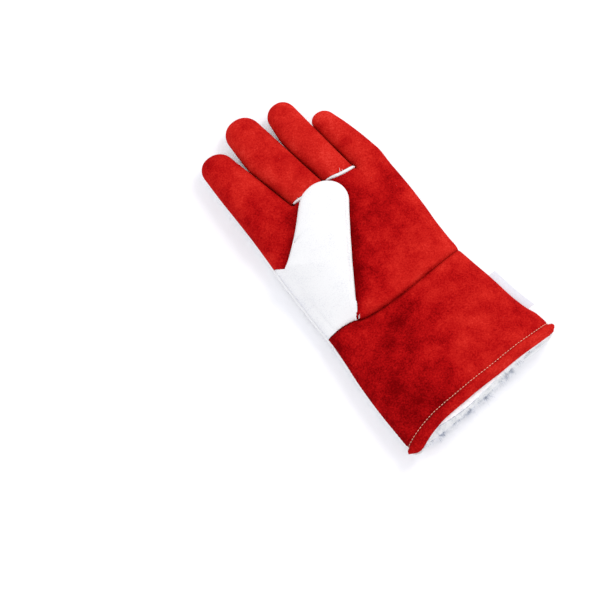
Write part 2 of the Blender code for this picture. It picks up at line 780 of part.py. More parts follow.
def make_thumb_front(leather):
    """Front of the thumb, which lies on the palm. It starts at the edge of the thumb hole."""
    sheet = Sheet()
    across = close_at_edges(THUMB_COLUMNS)
    hole = np.array([hole_edge(FOLD_STATION * (1 - share)) for share in across])
    stations = [(share, FREE_STATION) for share in np.linspace(0, 1, THUMB_BASE_ROWS + 1)[:-1]]
    stations += [(1.0, along) for along in free_rows()]
    grids = []
    for depth in (0.0, LEATHER):
        start = hole + free_row(FREE_STATION, across, depth) - free_row(FREE_STATION, across, 0.0)
        rows = []
        for share, along in stations:
            plan = mix(start, free_row(along, across, depth), share)
            edge = thumb_lift(along) - SEAM_GAP - LEATHER * base_hang(along)
            hollow = arch(2 * across - 1, TIP_FULLNESS) * thumb_tip_round(along)
            z = top_height(plan[:, 0], plan[:, 1]) + edge - (edge - THUMB_CLEARANCE - depth) * hollow
            rows.append(points(plan[:, 0], plan[:, 1], z))
        grids.append(np.array(rows))
    sheet.lay(*grids)
    return sheet.sew("thumb_front", leather)


def make_label_tab(tape):
    """Folded woven tape, caught in the cuff's side seam."""
    mesh = bmesh.new()
    low = SEAM_HEIGHT + SEAM_GAP / 2
    rings = []
    for along in np.linspace(0, 1, 7):
        y = LABEL_FROM_HEM + along * LABEL_LENGTH
        edge = side_seams(y)[1] + SEAM_GAP
        ring = [(edge, low), (edge + LABEL_WIDTH - LABEL_THICKNESS / 2, low),
                (edge + LABEL_WIDTH, low + LABEL_THICKNESS / 2),
                (edge + LABEL_WIDTH - LABEL_THICKNESS / 2, low + LABEL_THICKNESS),
                (edge, low + LABEL_THICKNESS)]
        rings.append([mesh.verts.new((x, y, z)) for x, z in ring])
    for ring, following in zip(rings, rings[1:]):
        for k in range(len(ring)):
            mesh.faces.new((ring[k - 1], ring[k], following[k], following[k - 1]))
    mesh.faces.new(rings[0])
    mesh.faces.new(reversed(rings[-1]))
    return add_object("label_tab", mesh, tape)


def move_origin_under_middle(pieces):
    """Shift every piece so that the origin lies under the middle of the glove's box."""
    corners = np.array([vertex.co for piece in pieces for vertex in piece.data.vertices])
    low, high = corners.min(axis=0), corners.max(axis=0)
    shift = np.array(((low[0] + high[0]) / 2, (low[1] + high[1]) / 2, low[2]))
    for piece in pieces:
        for vertex in piece.data.vertices:
            vertex.co = np.array(vertex.co) - shift


def build():
    for leftover in list(bpy.data.objects):
        bpy.data.objects.remove(leftover)
    suede = make_material("red_suede", (0.55, 0.012, 0.008), 0.95)
    leather = make_material("white_leather", (0.86, 0.86, 0.87), 0.7)
    fleece = make_material("white_fleece", (0.82, 0.83, 0.85), 1.0)
    tape = make_material("white_tape", (0.85, 0.85, 0.86), 0.6)
    pieces = [
        make_palm_panel(suede),
        make_finger_front(STRIPS.index("middle"), suede),
        make_finger_front(STRIPS.index("ring"), suede),
        make_welt(STRIPS.index("middle"), leather),
        make_welt(STRIPS.index("ring"), leather),
        make_back_panel(leather),
        make_thumb_back(leather),
        make_thumb_front(leather),
        make_cuff_front(suede),
        make_cuff_back(leather),
        make_cuff_lining(fleece),
        make_label_tab(tape),
    ]
    move_origin_under_middle(pieces)


build()
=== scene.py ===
"""Fire-resistant leather work glove: the finish, seams, stitches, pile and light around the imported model.

Metres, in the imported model's frame. The glove lies palm up, +Y towards its fingertips.
"""

import bpy
import numpy as np
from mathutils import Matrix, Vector, kdtree


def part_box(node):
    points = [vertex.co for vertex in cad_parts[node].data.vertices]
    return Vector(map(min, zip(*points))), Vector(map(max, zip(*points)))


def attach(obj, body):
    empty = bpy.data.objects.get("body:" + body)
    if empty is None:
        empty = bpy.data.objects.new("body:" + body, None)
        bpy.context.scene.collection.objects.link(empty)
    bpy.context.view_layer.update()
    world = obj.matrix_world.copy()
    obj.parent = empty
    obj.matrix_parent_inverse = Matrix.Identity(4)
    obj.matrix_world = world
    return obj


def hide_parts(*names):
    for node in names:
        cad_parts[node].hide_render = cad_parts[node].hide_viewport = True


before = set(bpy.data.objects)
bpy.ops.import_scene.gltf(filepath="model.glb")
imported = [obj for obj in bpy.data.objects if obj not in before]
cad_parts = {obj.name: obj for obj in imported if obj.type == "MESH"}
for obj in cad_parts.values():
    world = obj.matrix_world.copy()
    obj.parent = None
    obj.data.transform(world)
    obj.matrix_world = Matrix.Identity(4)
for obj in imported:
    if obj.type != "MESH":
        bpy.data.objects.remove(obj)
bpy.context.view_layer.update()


# Palm of red split suede, in one piece with the fronts of the index and the little finger.
# It is cut out for the thumb and for the two middle fingers, sewn inside out along its edge and
# turned, so its edge rolls down into the side seam.
LEATHER = 0.0015
SEAM_GAP = 0.0003
CUFF_LENGTH = 0.118
PALM_LENGTH = 0.134
HEM_WIDTH = 0.178
WRIST_WIDTH = 0.153
KNUCKLE_WIDTH = 0.1525
WRIST_LEAN = -0.0035
KNUCKLE_LEAN = 0.0042

# Heights over the table, the back's rounded and bulging sides, and the crease at the wrist seam
SEAM_HEIGHT = 0.011
CUFF_HEIGHT = 0.031
WRIST_HEIGHT = 0.027
PALM_HEIGHT = 0.028
FINGER_HEIGHT = 0.0265
SIDE_ROUND = 0.024
SIDE_BULGE = 0.005
WRIST_CREASE = 0.002
WRIST_CREASE_REACH = 0.006

# Fingers from their roots, the webs between them, and the welts across the two middle ones' roots
INDEX_LENGTH = 0.0915
MIDDLE_LENGTH = 0.1075
RING_LENGTH = 0.100
LITTLE_LENGTH = 0.069
FINGER_GAP = 0.0006
WEB_REACH = 0.024
WELT_WIDTH = 0.0036
WELT_BOW = 0.0025


class Table:
    """Rows of named columns, read as smooth curves over the first column."""

    def __init__(self, columns, *rows):
        names = columns.split()
        self.columns = {name: np.array([row[k] for row in rows], float) for k, name in enumerate(names)}
        self.stations = self.columns[names[0]]

    def read(self, column, at):
        """Value of a column at a station, with no overshoot between the rows."""
        stations, values = self.stations, self.columns[column]
        secants = np.diff(values) / np.diff(stations)
        before, after = secants[:-1], secants[1:]
        same_way = before * after > 0
        slopes = np.where(same_way, 2 * before * after / np.where(same_way, before + after, 1), 0)
        slopes = np.concatenate((secants[:1], slopes, secants[-1:]))
        at = np.clip(at, stations[0], stations[-1])
        k = np.clip(np.searchsorted(stations, at, side="right") - 1, 0, len(stations) - 2)
        step = stations[k + 1] - stations[k]
        t = (at - stations[k]) / step
        start = values[k] * (1 + 2 * t) + slopes[k] * step * t
        end = values[k + 1] * (3 - 2 * t) - slopes[k + 1] * step * (1 - t)
        return start * (1 - t) ** 2 + end * t ** 2


# Share of the way from the hem's edge to the wrist's edge, from the hem (0) to the wrist (1)
CUFF_EDGES = Table("along left right",
                   (0.00, 0.00, 0.00),
                   (0.10, 0.02, 0.05),
                   (0.20, 0.05, 0.13),
                   (0.30, 0.08, 0.37),
                   (0.45, 0.18, 0.56),
                   (0.65, 0.42, 0.69),
                   (0.85, 0.78, 0.88),
                   (1.00, 1.00, 1.00))

# Share of the way from the wrist's edge to the knuckles' edge
PALM_EDGES = Table("along left right",
                   (0.00, 0.00, 0.00),
                   (0.25, 0.15, 0.27),
                   (0.40, 0.27, 0.60),
                   (0.62, 0.50, 0.93),
                   (0.80, 0.75, 1.04),
                   (0.90, 0.88, 1.06),
                   (1.00, 1.00, 1.00))

# Wrist seam, from the thumb's side (-1) to the other (1), as a share of the cuff's length
WRIST_LINE = Table("across along",
                   (-1.00, 1.070),
                   (-0.87, 1.068),
                   (-0.62, 1.042),
                   (-0.54, 1.010),
                   (-0.30, 0.985),
                   (0.00, 0.975),
                   (0.50, 0.985),
                   (1.00, 1.000))

# How far the back bulges past each side seam, from the hem (0) to the knuckles (1)
BULGES = Table("along left right",
               (0.00, 0.20, 0.40),
               (0.20, 0.20, 0.60),
               (0.35, 0.30, 1.00),
               (0.60, 0.60, 1.00),
               (0.78, 0.60, 0.20),
               (1.00, 0.25, 0.10))

# Edge of the palm's thumb hole: share of the palm's width taken off at the thumb's side
THUMB_HOLE = Table("along across",
                   (0.00, 0.203),
                   (0.30, 0.134),
                   (0.617, 0.039),
                   (0.69, 0.000))
FOLD_STATION = 0.617
HOLE_END_STATION = 0.69

# Finger roots: share of the knuckles' width, share of the palm's length, and how the gap leans
ROOTS = Table("number across along lean",
              (0, 0.000, 0.985, 0.00),
              (1, 0.328, 0.985, -0.16),
              (2, 0.584, 0.981, -0.085),
              (3, 0.797, 0.935, -0.03),
              (4, 1.000, 0.948, 0.00))

# Edges of each finger as shares of its root's width, and its rise, from root (0) to tip (1)
FINGERS = {
    "index": (INDEX_LENGTH, Table("along left right rise",
                                  (0.00, 0.00, 1.00, 1.00),
                                  (0.25, 0.02, 0.92, 0.97),
                                  (0.55, 0.04, 0.83, 0.88),
                                  (0.80, 0.07, 0.75, 0.78),
                                  (1.00, 0.09, 0.71, 0.68))),
    "middle": (MIDDLE_LENGTH, Table("along left right rise",
                                    (0.00, 0.00, 1.00, 1.00),
                                    (0.25, -0.12, 0.96, 0.95),
                                    (0.50, -0.22, 0.90, 0.88),
                                    (0.80, -0.17, 0.80, 0.80),
                                    (1.00, -0.13, 0.76, 0.70))),
    "ring": (RING_LENGTH, Table("along left right rise",
                                (0.00, 0.00, 1.00, 1.00),
                                (0.25, -0.07, 1.02, 0.95),
                                (0.60, -0.13, 1.01, 0.88),
                                (0.80, -0.06, 0.98, 0.80),
                                (1.00, 0.04, 0.945, 0.70))),
    "little": (LITTLE_LENGTH, Table("along left right rise",
                                    (0.00, 0.00, 1.00, 1.00),
                                    (0.30, 0.00, 0.925, 0.90),
                                    (0.60, -0.05, 0.82, 0.80),
                                    (0.80, -0.12, 0.72, 0.74),
                                    (1.00, -0.19, 0.62, 0.68))),
}
STRIPS = list(FINGERS)

# Soft dents in the palm side: place, reach and depth as shares of width, length, palm and rise
DENTS = ((0.66, 0.56, 0.11, 0.07),
         (0.80, 0.40, 0.10, -0.04),
         (0.45, 0.20, 0.12, 0.05),
         (0.75, 0.18, 0.10, 0.05),
         (0.25, 0.12, 0.10, -0.04))

# How full the arches are: over the palm, over a finger at its root and its tip, in outline at a tip,
# and at the ends of a welt
BODY_FULLNESS = 2.5
ROOT_FULLNESS = 3.0
TIP_FULLNESS = 2.2
TIP_OUTLINE = 2.2
WELT_ENDS = 4

# Share of a finger's back that the table presses flat, and the station where a finger's own skin starts
FINGER_FLAT = 0.35
JUST_PAST_ROOT = 1 + 1e-9


def mix(low, high, share):
    """Value at a share of the way from low to high."""
    return low + (high - low) * share


def ease(share):
    """0 to 1 with a soft start and a soft end."""
    share = np.clip(share, 0, 1)
    return share * share * (3 - 2 * share)


def arch(place, fullness):
    """1 over the middle (0), falling steeply to 0 at the edges (-1 and 1)."""
    return np.clip(1 - np.abs(place) ** fullness, 0, 1) ** (1 / fullness)


def tub(place, flat):
    """1 over the flat share of the middle, then a quarter round to 0 at the edges."""
    beyond = np.clip((np.abs(place) - flat) / (1 - flat), 0, 1)
    return np.sqrt(1 - beyond ** 2)


def bell(away, reach):
    """1 at no distance, falling softly to almost nothing at twice the reach."""
    return np.exp(-(away / reach) ** 2)


def close_at_edges(count):
    """Shares from 0 to 1 that lie closer together near both ends."""
    return (1 - np.cos(np.linspace(0, np.pi, count + 1))) / 2


def points(x, y, z):
    """Points from their coordinates, spread to one common shape."""
    return np.stack(np.broadcast_arrays(x, y, z), axis=-1)


# Loose hide between the seams: size of the lumps in metres, and share of the rise that they take
SLACK = ((0.046, 0.055, 1),
         (0.019, 0.028, 2),
         (0.008, 0.009, 3))
NOISE_GRID = 64
NOISE_START = (17.3, 29.1)


def slack_noise(x, y, size, seed):
    """Smooth hills and hollows from -1 to 1, about this size apart."""
    heights = np.random.default_rng(seed).uniform(-1, 1, (NOISE_GRID, NOISE_GRID))
    u, v = np.asarray(x) / size + NOISE_START[0], np.asarray(y) / size + NOISE_START[1]
    i, j = np.floor(u).astype(int), np.floor(v).astype(int)
    s, t = ease(u - i), ease(v - j)
    left, right = i % NOISE_GRID, (i + 1) % NOISE_GRID
    low, high = j % NOISE_GRID, (j + 1) % NOISE_GRID
    near = mix(heights[left, low], heights[right, low], s)
    far = mix(heights[left, high], heights[right, high], s)
    return mix(near, far, t)


def slack(x, y):
    """Share of its rise that the palm side loses to the hills and hollows of loose hide."""
    return sum(depth * slack_noise(x, y, size, seed) for size, depth, seed in SLACK)


def side_seams(y):
    """Where the left and the right side seam lie at y."""
    cuff = y / CUFF_LENGTH
    palm = (y - CUFF_LENGTH) / PALM_LENGTH
    seams = []
    for side, name in ((-1, "left"), (1, "right")):
        hem = side * HEM_WIDTH / 2
        wrist = WRIST_LEAN + side * WRIST_WIDTH / 2
        knuckle = KNUCKLE_LEAN + side * KNUCKLE_WIDTH / 2
        in_cuff = mix(hem, wrist, CUFF_EDGES.read(name, cuff))
        seams.append(in_cuff + (knuckle - wrist) * PALM_EDGES.read(name, palm))
    return seams


def wrist_line(across):
    """y of the wrist seam at a place across the glove, from -1 to 1."""
    return CUFF_LENGTH * WRIST_LINE.read("along", across)


def root_line(strip, across):
    """y of a finger's root at a share across its strip."""
    left, right = CUFF_LENGTH + PALM_LENGTH * ROOTS.columns["along"][strip:strip + 2]
    bow = WELT_BOW if STRIPS[strip] in ("middle", "ring") else 0
    return mix(left, right, across) - 4 * bow * across * (1 - across)


def crown_height(y):
    """Height of the palm side's middle at y."""
    cuff = ease(y / CUFF_LENGTH)
    palm = ease(2 * (y - CUFF_LENGTH) / PALM_LENGTH)
    return mix(mix(CUFF_HEIGHT, WRIST_HEIGHT, cuff), PALM_HEIGHT, palm)


def dent_depth(x, y):
    """Share of its rise that the palm side loses to the wrist's crease and the soft dents."""
    left, right = side_seams(y)
    middle, half = (left + right) / 2, (right - left) / 2
    from_crease = y - wrist_line((x - middle) / half)
    loss = WRIST_CREASE / (WRIST_HEIGHT - SEAM_HEIGHT) * bell(from_crease, WRIST_CREASE_REACH)
    for dent_across, dent_along, reach, depth in DENTS:
        x_away = (x - mix(left, right, dent_across)) / KNUCKLE_WIDTH
        y_away = (y - dent_along * (CUFF_LENGTH + PALM_LENGTH)) / KNUCKLE_WIDTH
        loss = loss + depth * np.exp(-(x_away ** 2 + y_away ** 2) / reach ** 2)
    return loss + slack(x, y)


def top_rise(x, y, depth):
    """How far the palm side stands above the side seam."""
    left, right = side_seams(y)
    middle, half = (left + right) / 2, (right - left) / 2
    rise = crown_height(y) - SEAM_HEIGHT
    return (rise * (1 - dent_depth(x, y)) - depth) * arch((x - middle) / (half - depth), BODY_FULLNESS)


def top_height(x, y, depth=0.0):
    """Height of the palm side, with its wrist crease and dents, at a plan point of the body."""
    return SEAM_HEIGHT + SEAM_GAP / 2 + top_rise(x, y, depth)


def back_drop(across, y):
    """Share of the seam's height that the back hangs below the side seam."""
    left, right = side_seams(y)
    return tub(across, 1 - 2 * SIDE_ROUND / (right - left))


def bulge_out(x, z, across, left_share, right_share):
    """Push the back's sides out between the seam and the floor."""
    level = np.clip((SEAM_HEIGHT - z) / SEAM_HEIGHT, 0, 1)
    side = np.where(across < 0, -left_share, right_share) * np.abs(across) ** 4
    return x + side * SIDE_BULGE * np.sin(np.pi * level)


def body_bulges(y):
    """Shares of the side bulge at the left and the right side seam."""
    along = y / (CUFF_LENGTH + PALM_LENGTH)
    return BULGES.read("left", along), BULGES.read("right", along)


def finger_edges(strip, along):
    """Left and right edge of a finger, kept off its neighbours, and its tip's y."""
    length, shape = FINGERS[STRIPS[strip]]
    share = ROOTS.columns["across"][strip:strip + 2]
    corner = CUFF_LENGTH + PALM_LENGTH * ROOTS.columns["along"][strip:strip + 2]
    left_root, right_root = (mix(*side_seams(corner[k]), share[k]) for k in (0, 1))
    width = right_root - left_root
    tip = corner.mean() + length
    left = left_root + width * shape.read("left", along)
    right = left_root + width * shape.read("right", along)
    gap = FINGER_GAP / 2 * ease(10 * along)
    lean = ROOTS.columns["lean"]
    if strip > 0:
        parting = left_root + lean[strip] * along * (tip - corner[0])
        left = np.maximum(left, parting + gap)
    if strip < len(STRIPS) - 1:
        parting = right_root + lean[strip + 1] * along * (tip - corner[1])
        right = np.minimum(right, parting - gap)
    return left, right, tip


def tip_round(strip, along):
    """Share of a finger's width and height that is left at a station, 0 at its tip."""
    length, _ = FINGERS[STRIPS[strip]]
    left, right, _ = finger_edges(strip, 1.0)
    start = 1 - (right - left) / 2 / length
    return arch(np.clip((along - start) / (1 - start), 0, 1), TIP_OUTLINE)


def skin(strip, across, along, depth, palm_side, hole=False, inset=0.0):
    """Points of the palm side or the back along one finger's strip.

    across runs from 0 to 1 over the strip. along is 0 at the wrist, 1 at the root, 2 at the tip.
    depth is how far the skin lies under the glove's outer face. hole cuts the thumb hole, and
    inset draws a finger's edges in.
    """
    share = ROOTS.columns["across"][strip:strip + 2]
    last = len(STRIPS) - 1
    in_palm = np.clip(along, 0, 1)
    up_finger = np.clip(along - 1, 0, 1)
    left_end = np.maximum(share[0], THUMB_HOLE.read("across", in_palm)) if hole else share[0]
    body_share = mix(left_end, share[1], across)
    body_across = 2 * body_share - 1
    place = 2 * across - 1

    # Interior borders drop to the seam as a web in front of each crotch
    web = np.clip(1 - (1 - in_palm) * PALM_LENGTH / WEB_REACH, 0, 1)
    inner_place = np.clip(place, 0 if strip == 0 else -1, 0 if strip == last else 1)
    outer_place = place - inner_place

    wrist = wrist_line(body_across) if palm_side else np.full_like(body_across, CUFF_LENGTH)
    root = root_line(strip, across)
    setback = depth * web * np.abs(inner_place) ** 3
    y_body = mix(wrist + SEAM_GAP / 2, root, in_palm) - setback
    blend = ease(web)
    drawn_in = inner_place * (1 - inner_place ** 8) + outer_place
    x_body = mix(*side_seams(y_body), body_share) - depth * mix(body_across, drawn_in, blend)
    x_body = x_body - setback * mix(*ROOTS.columns["lean"][strip:strip + 2], across)

    edge_left, edge_right, tip = finger_edges(strip, up_finger)
    tip_share = tip_round(strip, up_finger)
    middle, half = (edge_left + edge_right) / 2, (edge_right - edge_left) / 2
    x_finger = middle + (half - depth - inset) * tip_share * place
    y_finger = mix(root, tip - depth, up_finger)

    finger_rise = (FINGER_HEIGHT - SEAM_HEIGHT) * FINGERS[STRIPS[strip]][1].read("rise", up_finger)
    finger_rise = finger_rise * (1 - slack(mix(x_body, x_finger, up_finger > 0), y_finger))
    if palm_side:
        fullness = mix(ROOT_FULLNESS, TIP_FULLNESS, up_finger)
        side = arch(outer_place, fullness)
        body = top_rise(x_body, y_body, depth)
        rise = mix(body, (finger_rise - depth) * side, blend) * arch(web * inner_place, fullness)
        z = SEAM_HEIGHT + SEAM_GAP / 2 + rise * tip_share
    else:
        side = tub(outer_place, FINGER_FLAT)
        drop = mix(back_drop(body_across, y_body), side, blend) * tub(web * inner_place, FINGER_FLAT)
        z = SEAM_HEIGHT - SEAM_GAP / 2 - (SEAM_HEIGHT - SEAM_GAP / 2 - depth) * drop * tip_share
        left_share, right_share = body_bulges(y_body)
        if strip == 0:
            x_finger = bulge_out(x_finger, z, np.minimum(place, 0), left_share, 0)
        if strip == last:
            x_finger = bulge_out(x_finger, z, np.maximum(place, 0), 0, right_share)
        x_body = bulge_out(x_body, z, body_across, left_share, right_share)
    in_finger = along > 1
    return points(np.where(in_finger, x_finger, x_body), np.where(in_finger, y_finger, y_body), z)


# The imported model's origin in the pattern, whose own is at the middle of the hem. It follows from the
# lining's solid, which starts this far in front of the hem and this far in from the side seam.
MOUTH_REACH = 0.010
LINING_COVER = 0.0039
lining_low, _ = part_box("cuff_lining")
PATTERN_ORIGIN = np.array((LINING_COVER - HEM_WIDTH / 2 - lining_low.x, -MOUTH_REACH - lining_low.y, 0))

# Pitch of the seams' stitches, and steps to a metre within which two patches' points count as one
STITCH_PITCH = 0.0036
SAME_POINT = 1e5

# Painted shade and highlight from the relief: grooves are painted darker and what stands out lighter, by
# this much for each metre and within these ends
PAINTED_RELIEF_SHADE = 100
DARKEST_GROOVE_SHADE = -0.4
LIGHTEST_RIDGE_HIGHLIGHT = 0.05


class Sheet:
    """A cut piece: patches of an outer and an inner skin, sewn into one and closed along the cut edge."""

    def __init__(self):
        self.numbers = {}
        self.outer = []
        self.inner = []
        self.relief = []
        self.tones = []
        self.faces = []

    def lay(self, outer, inner, relief=0.0, lighter=0.0):
        """Add a patch of rows and columns of points.

        relief is how far each point stands out; it also paints grooves darker, as painted shade, and ridges
        a little lighter, as painted highlight. lighter is how much lighter the colour is painted besides.
        """
        rows, columns = outer.shape[:2]
        relief = np.broadcast_to(relief, (rows, columns)).ravel()
        tones = np.clip(relief * PAINTED_RELIEF_SHADE, DARKEST_GROOVE_SHADE, LIGHTEST_RIDGE_HIGHLIGHT)
        tones = tones + np.broadcast_to(lighter, (rows, columns)).ravel()
        outer, inner = outer.reshape(-1, 3), inner.reshape(-1, 3)
        keys = np.round(np.hstack((outer, inner)) * SAME_POINT).astype(int)
        numbers = np.empty(rows * columns, int)
        for k, key in enumerate(map(tuple, keys)):
            number = self.numbers.setdefault(key, len(self.outer))
            if number == len(self.outer):
                self.outer.append(outer[k])
                self.inner.append(inner[k])
                self.relief.append(relief[k])
                self.tones.append(tones[k])
            numbers[k] = number
        grid = numbers.reshape(rows, columns)
        corners = np.stack((grid[:-1, :-1], grid[:-1, 1:], grid[1:, 1:], grid[1:, :-1]), axis=-1)
        for face in corners.reshape(-1, 4).tolist():
            face = list(dict.fromkeys(face))
            if len(face) > 2:
                self.faces.append(face)

    def relax(self, rounds, pull=0.6):
        """Even out the height where patches meet. The cut edge stays where it is."""
        sides = [(face[k - 1], face[k]) for face in self.faces for k in range(len(face))]
        first, second = np.array(sides).T
        fixed = np.array(self.cut_edges()).ravel()
        height = np.array(self.outer)[:, 2]
        before = height.copy()
        uses = np.bincount(first, minlength=len(height)) + np.bincount(second, minlength=len(height))
        for _ in range(rounds):
            total = np.bincount(first, height[second], len(height))
            total = total + np.bincount(second, height[first], len(height))
            height = height + pull * (total / uses - height)
            height[fixed] = before[fixed]
        for skin_points in (self.outer, self.inner):
            for k, point in enumerate(skin_points):
                skin_points[k] = point + np.array((0, 0, height[k] - before[k]))

    def cut_edges(self):
        """Edges that only one face uses."""
        edges = {(face[k - 1], face[k]) for face in self.faces for k in range(len(face))}
        return [(start, end) for start, end in edges if (end, start) not in edges]

    def sew(self, name, material, dip=0.0006, dip_reach=0.0016, pucker=0.3):
        """Make the object. Its edge dips into the seam, and the seam's stitches pucker it."""
        outer, inner = np.array(self.outer), np.array(self.inner)
        edges = self.cut_edges()
        tree = kdtree.KDTree(len(edges))
        for start, _ in edges:
            tree.insert(outer[start], start)
        tree.balance()
        away = np.array([tree.find(point)[2] for point in outer])
        gathers = 1 + pucker * np.sin((outer[:, 0] + outer[:, 1]) * 2 * np.pi / STITCH_PITCH)
        move = np.array(self.relief) - dip * gathers * bell(away, dip_reach)
        normals = vertex_normals(outer, self.faces)
        outwards = np.sign(np.sum(normals * (outer - inner)))
        outer = outer + normals * (outwards * move)[:, None]
        inner = inner + normals * (outwards * move)[:, None]
        count = len(outer)
        faces = [face if outwards > 0 else face[::-1] for face in self.faces]
        faces += [[k + count for k in reversed(face)] for face in faces]
        for start, end in edges:
            rim = [end, start, start + count, end + count]
            faces.append(rim if outwards > 0 else rim[::-1])
        piece = make_piece(name, np.vstack((outer, inner)), faces, material)
        # The tones go into an attribute that the finishes read: each piece's tone, and painted shade and
        # highlight
        brushed = piece.data.attributes.new("brushed", "FLOAT", "POINT")
        brushed.data.foreach_set("value", np.tile(self.tones, 2).astype(np.float32))
        return piece


def vertex_normals(positions, faces):
    """Unit normals of a surface's points, from the faces around each."""
    normals = np.zeros_like(positions)
    for size in (3, 4):
        some = np.array([face for face in faces if len(face) == size], int).reshape(-1, size)
        first, second = positions[some[:, 0]], positions[some[:, 1]]
        third, last = positions[some[:, 2]], positions[some[:, -1]]
        across = np.cross(third - first, (last - second) if size == 4 else (third - second))
        for k in range(size):
            np.add.at(normals, some[:, k], across)
    return normals / np.maximum(np.linalg.norm(normals, axis=1), 1e-12)[:, None]


def make_piece(name, positions, faces, material, smooth_below=60):
    """Object from points in the pattern's own frame, whose origin is at the hem under the axis."""
    mesh = bpy.data.meshes.new(name)
    mesh.from_pydata((positions - PATTERN_ORIGIN).tolist(), [], faces)
    mesh.materials.append(material)
    mesh.shade_smooth()
    mesh.set_sharp_from_angle(angle=np.radians(smooth_below))
    mesh.update()
    piece = bpy.data.objects.new(name, mesh)
    bpy.context.scene.collection.objects.link(piece)
    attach(piece, "root")
    return piece


class Tone:
    """A socket of the material being drawn. Arithmetic on it adds Math nodes."""

    def __init__(self, tree, socket=None):
        self.tree = tree
        self.socket = socket

    def node(self, kind, settings, values, out=0):
        """Add a node: its settings first, then the value or link of each socket."""
        made = self.tree.nodes.new("ShaderNode" + kind)
        for setting, value in settings.items():
            if setting == "stops":
                ramp = made.color_ramp.elements
                while len(ramp) < len(value):
                    ramp.new(1)
                for stop, (place, colour) in zip(ramp, value):
                    stop.position = place
                    stop.color = (*colour, 1)
            else:
                setattr(made, setting, value)
        for key, value in values.items():
            self.feed(made.inputs[key], value)
        return Tone(self.tree, made.outputs[out])

    def feed(self, socket, value):
        """Link a tone to a socket, or set the socket to a value."""
        if isinstance(value, Tone):
            self.tree.links.new(value.socket, socket)
        else:
            socket.default_value = value

    def math(self, operation, first, second):
        """Add a Math node on two values or tones."""
        return self.node("Math", {"operation": operation}, {0: first, 1: second})

    def __add__(self, other):
        return self.math("ADD", self, other)

    def __radd__(self, other):
        return self.math("ADD", other, self)

    def __sub__(self, other):
        return self.math("SUBTRACT", self, other)

    def __rsub__(self, other):
        return self.math("SUBTRACT", other, self)

    def __mul__(self, other):
        return self.math("MULTIPLY", self, other)

    def __rmul__(self, other):
        return self.math("MULTIPLY", other, self)

    def ramp(self, *stops):
        """Colour at this tone between stops, each a place and a colour."""
        return self.node("ValToRGB", {"stops": stops}, {0: self})

    def noise(self, size, detail, roughness):
        """Cloudy pattern from 0 to 1 over this place, with patches about this size in metres."""
        return self.node("TexNoise", {"noise_dimensions": "3D"},
                         {"Vector": self, "Scale": 1 / size, "Detail": detail, "Roughness": roughness})


def paint(shader, colour, height=None, strength=0.0, distance=0.0):
    """Give a shader its colour, and the relief of a height, in metres of distance."""
    colour.feed(shader.inputs["Base Color"], colour)
    if height is not None:
        bump = height.node("Bump", {}, {"Strength": strength, "Distance": distance, "Height": height})
        bump.feed(shader.inputs["Normal"], bump)


def start_material(name, roughness, **constants):
    """A material's Principled shader with its constant sockets set, and a Tone to draw on it."""
    material = bpy.data.materials.new(name)
    material.use_nodes = True
    shader = material.node_tree.nodes["Principled BSDF"]
    shader.inputs["Roughness"].default_value = roughness
    shader.inputs["Metallic"].default_value = 0
    for socket, value in constants.items():
        shader.inputs[socket.replace("_", " ")].default_value = value
    return material, shader, Tone(material.node_tree)


def suede(name, dark, middle, bright, palest, brushed=0.0, lean=0.0):
    """Split leather: a dense short nap, with softly lighter and darker clouds, and the painted shade and
    highlight that the mesh's tone attribute carries.

    Its offset makes the whole piece lighter or darker, and lean paints it lighter towards the little
    finger: painted shade on the thumb's side, away from the softbox.
    """
    material, shader, tone = start_material(name, 0.95, Specular_IOR_Level=0.02, Sheen_Weight=0.06,
                                            Sheen_Roughness=0.5, Sheen_Tint=(1.0, 0.1, 0.06, 1.0))
    place = tone.node("TexCoord", {}, {}, "Object")
    clouds = place.noise(0.045, 2, 0.5)
    patches = place.noise(0.014, 3, 0.55)
    nap = place.noise(0.0016, 3, 0.75)
    hairs = place.noise(0.0006, 2, 0.7)
    shade = (clouds - 0.5) * 1.3 + (patches - 0.5) * 1.0 + (nap - 0.5) * 1.6 + (hairs - 0.5) * 0.8
    # lean paints the piece lighter towards the little finger, as painted shade of the side away from the
    # softbox
    shade = shade + tone.node("SeparateXYZ", {}, {0: place}, 0) * lean + (0.5 + brushed)
    # The mesh's tone attribute adds painted shade in grooves and beside the thumb, and a painted highlight
    # on the hem's roll
    shade = (shade + tone.node("Attribute", {"attribute_name": "brushed"}, {}, "Fac")) * 0.7 + 0.1
    colour = shade.ramp((0.1, dark), (0.45, middle), (0.8, bright), (1.0, palest))
    paint(shader, colour, nap + hairs * 0.5 + patches * 2.0, strength=0.55, distance=0.0006)
    return material


SUEDE_REDS = ((0.17, 0.0, 0.001), (0.42, 0.0035, 0.0045), (0.60, 0.018, 0.012), (0.72, 0.04, 0.028))
RED_SUEDE = suede("red_suede", *SUEDE_REDS, brushed=0.03)


def palm_rows():
    """Stations from the wrist to the roots, close together at the wrist and before the crotches."""
    web = WEB_REACH / PALM_LENGTH
    plain = (1 - web) * np.linspace(0, 1, 78)[:-1] ** 1.2
    in_web = 1 - web * (1 - np.sin(np.linspace(0, np.pi / 2, 26)))
    return np.unique(np.concatenate((plain, (FOLD_STATION, HOLE_END_STATION), in_web)))


def finger_rows():
    """Stations from the root to the tip, close together at both."""
    share = np.linspace(0, 1, 74)
    return 1 + np.sin(share ** 1.15 * np.pi / 2)


def welt_half(across):
    """Half of the slot that the welt fills at a share across a finger's root."""
    return WELT_WIDTH / 2 * arch(2 * across - 1, WELT_ENDS)


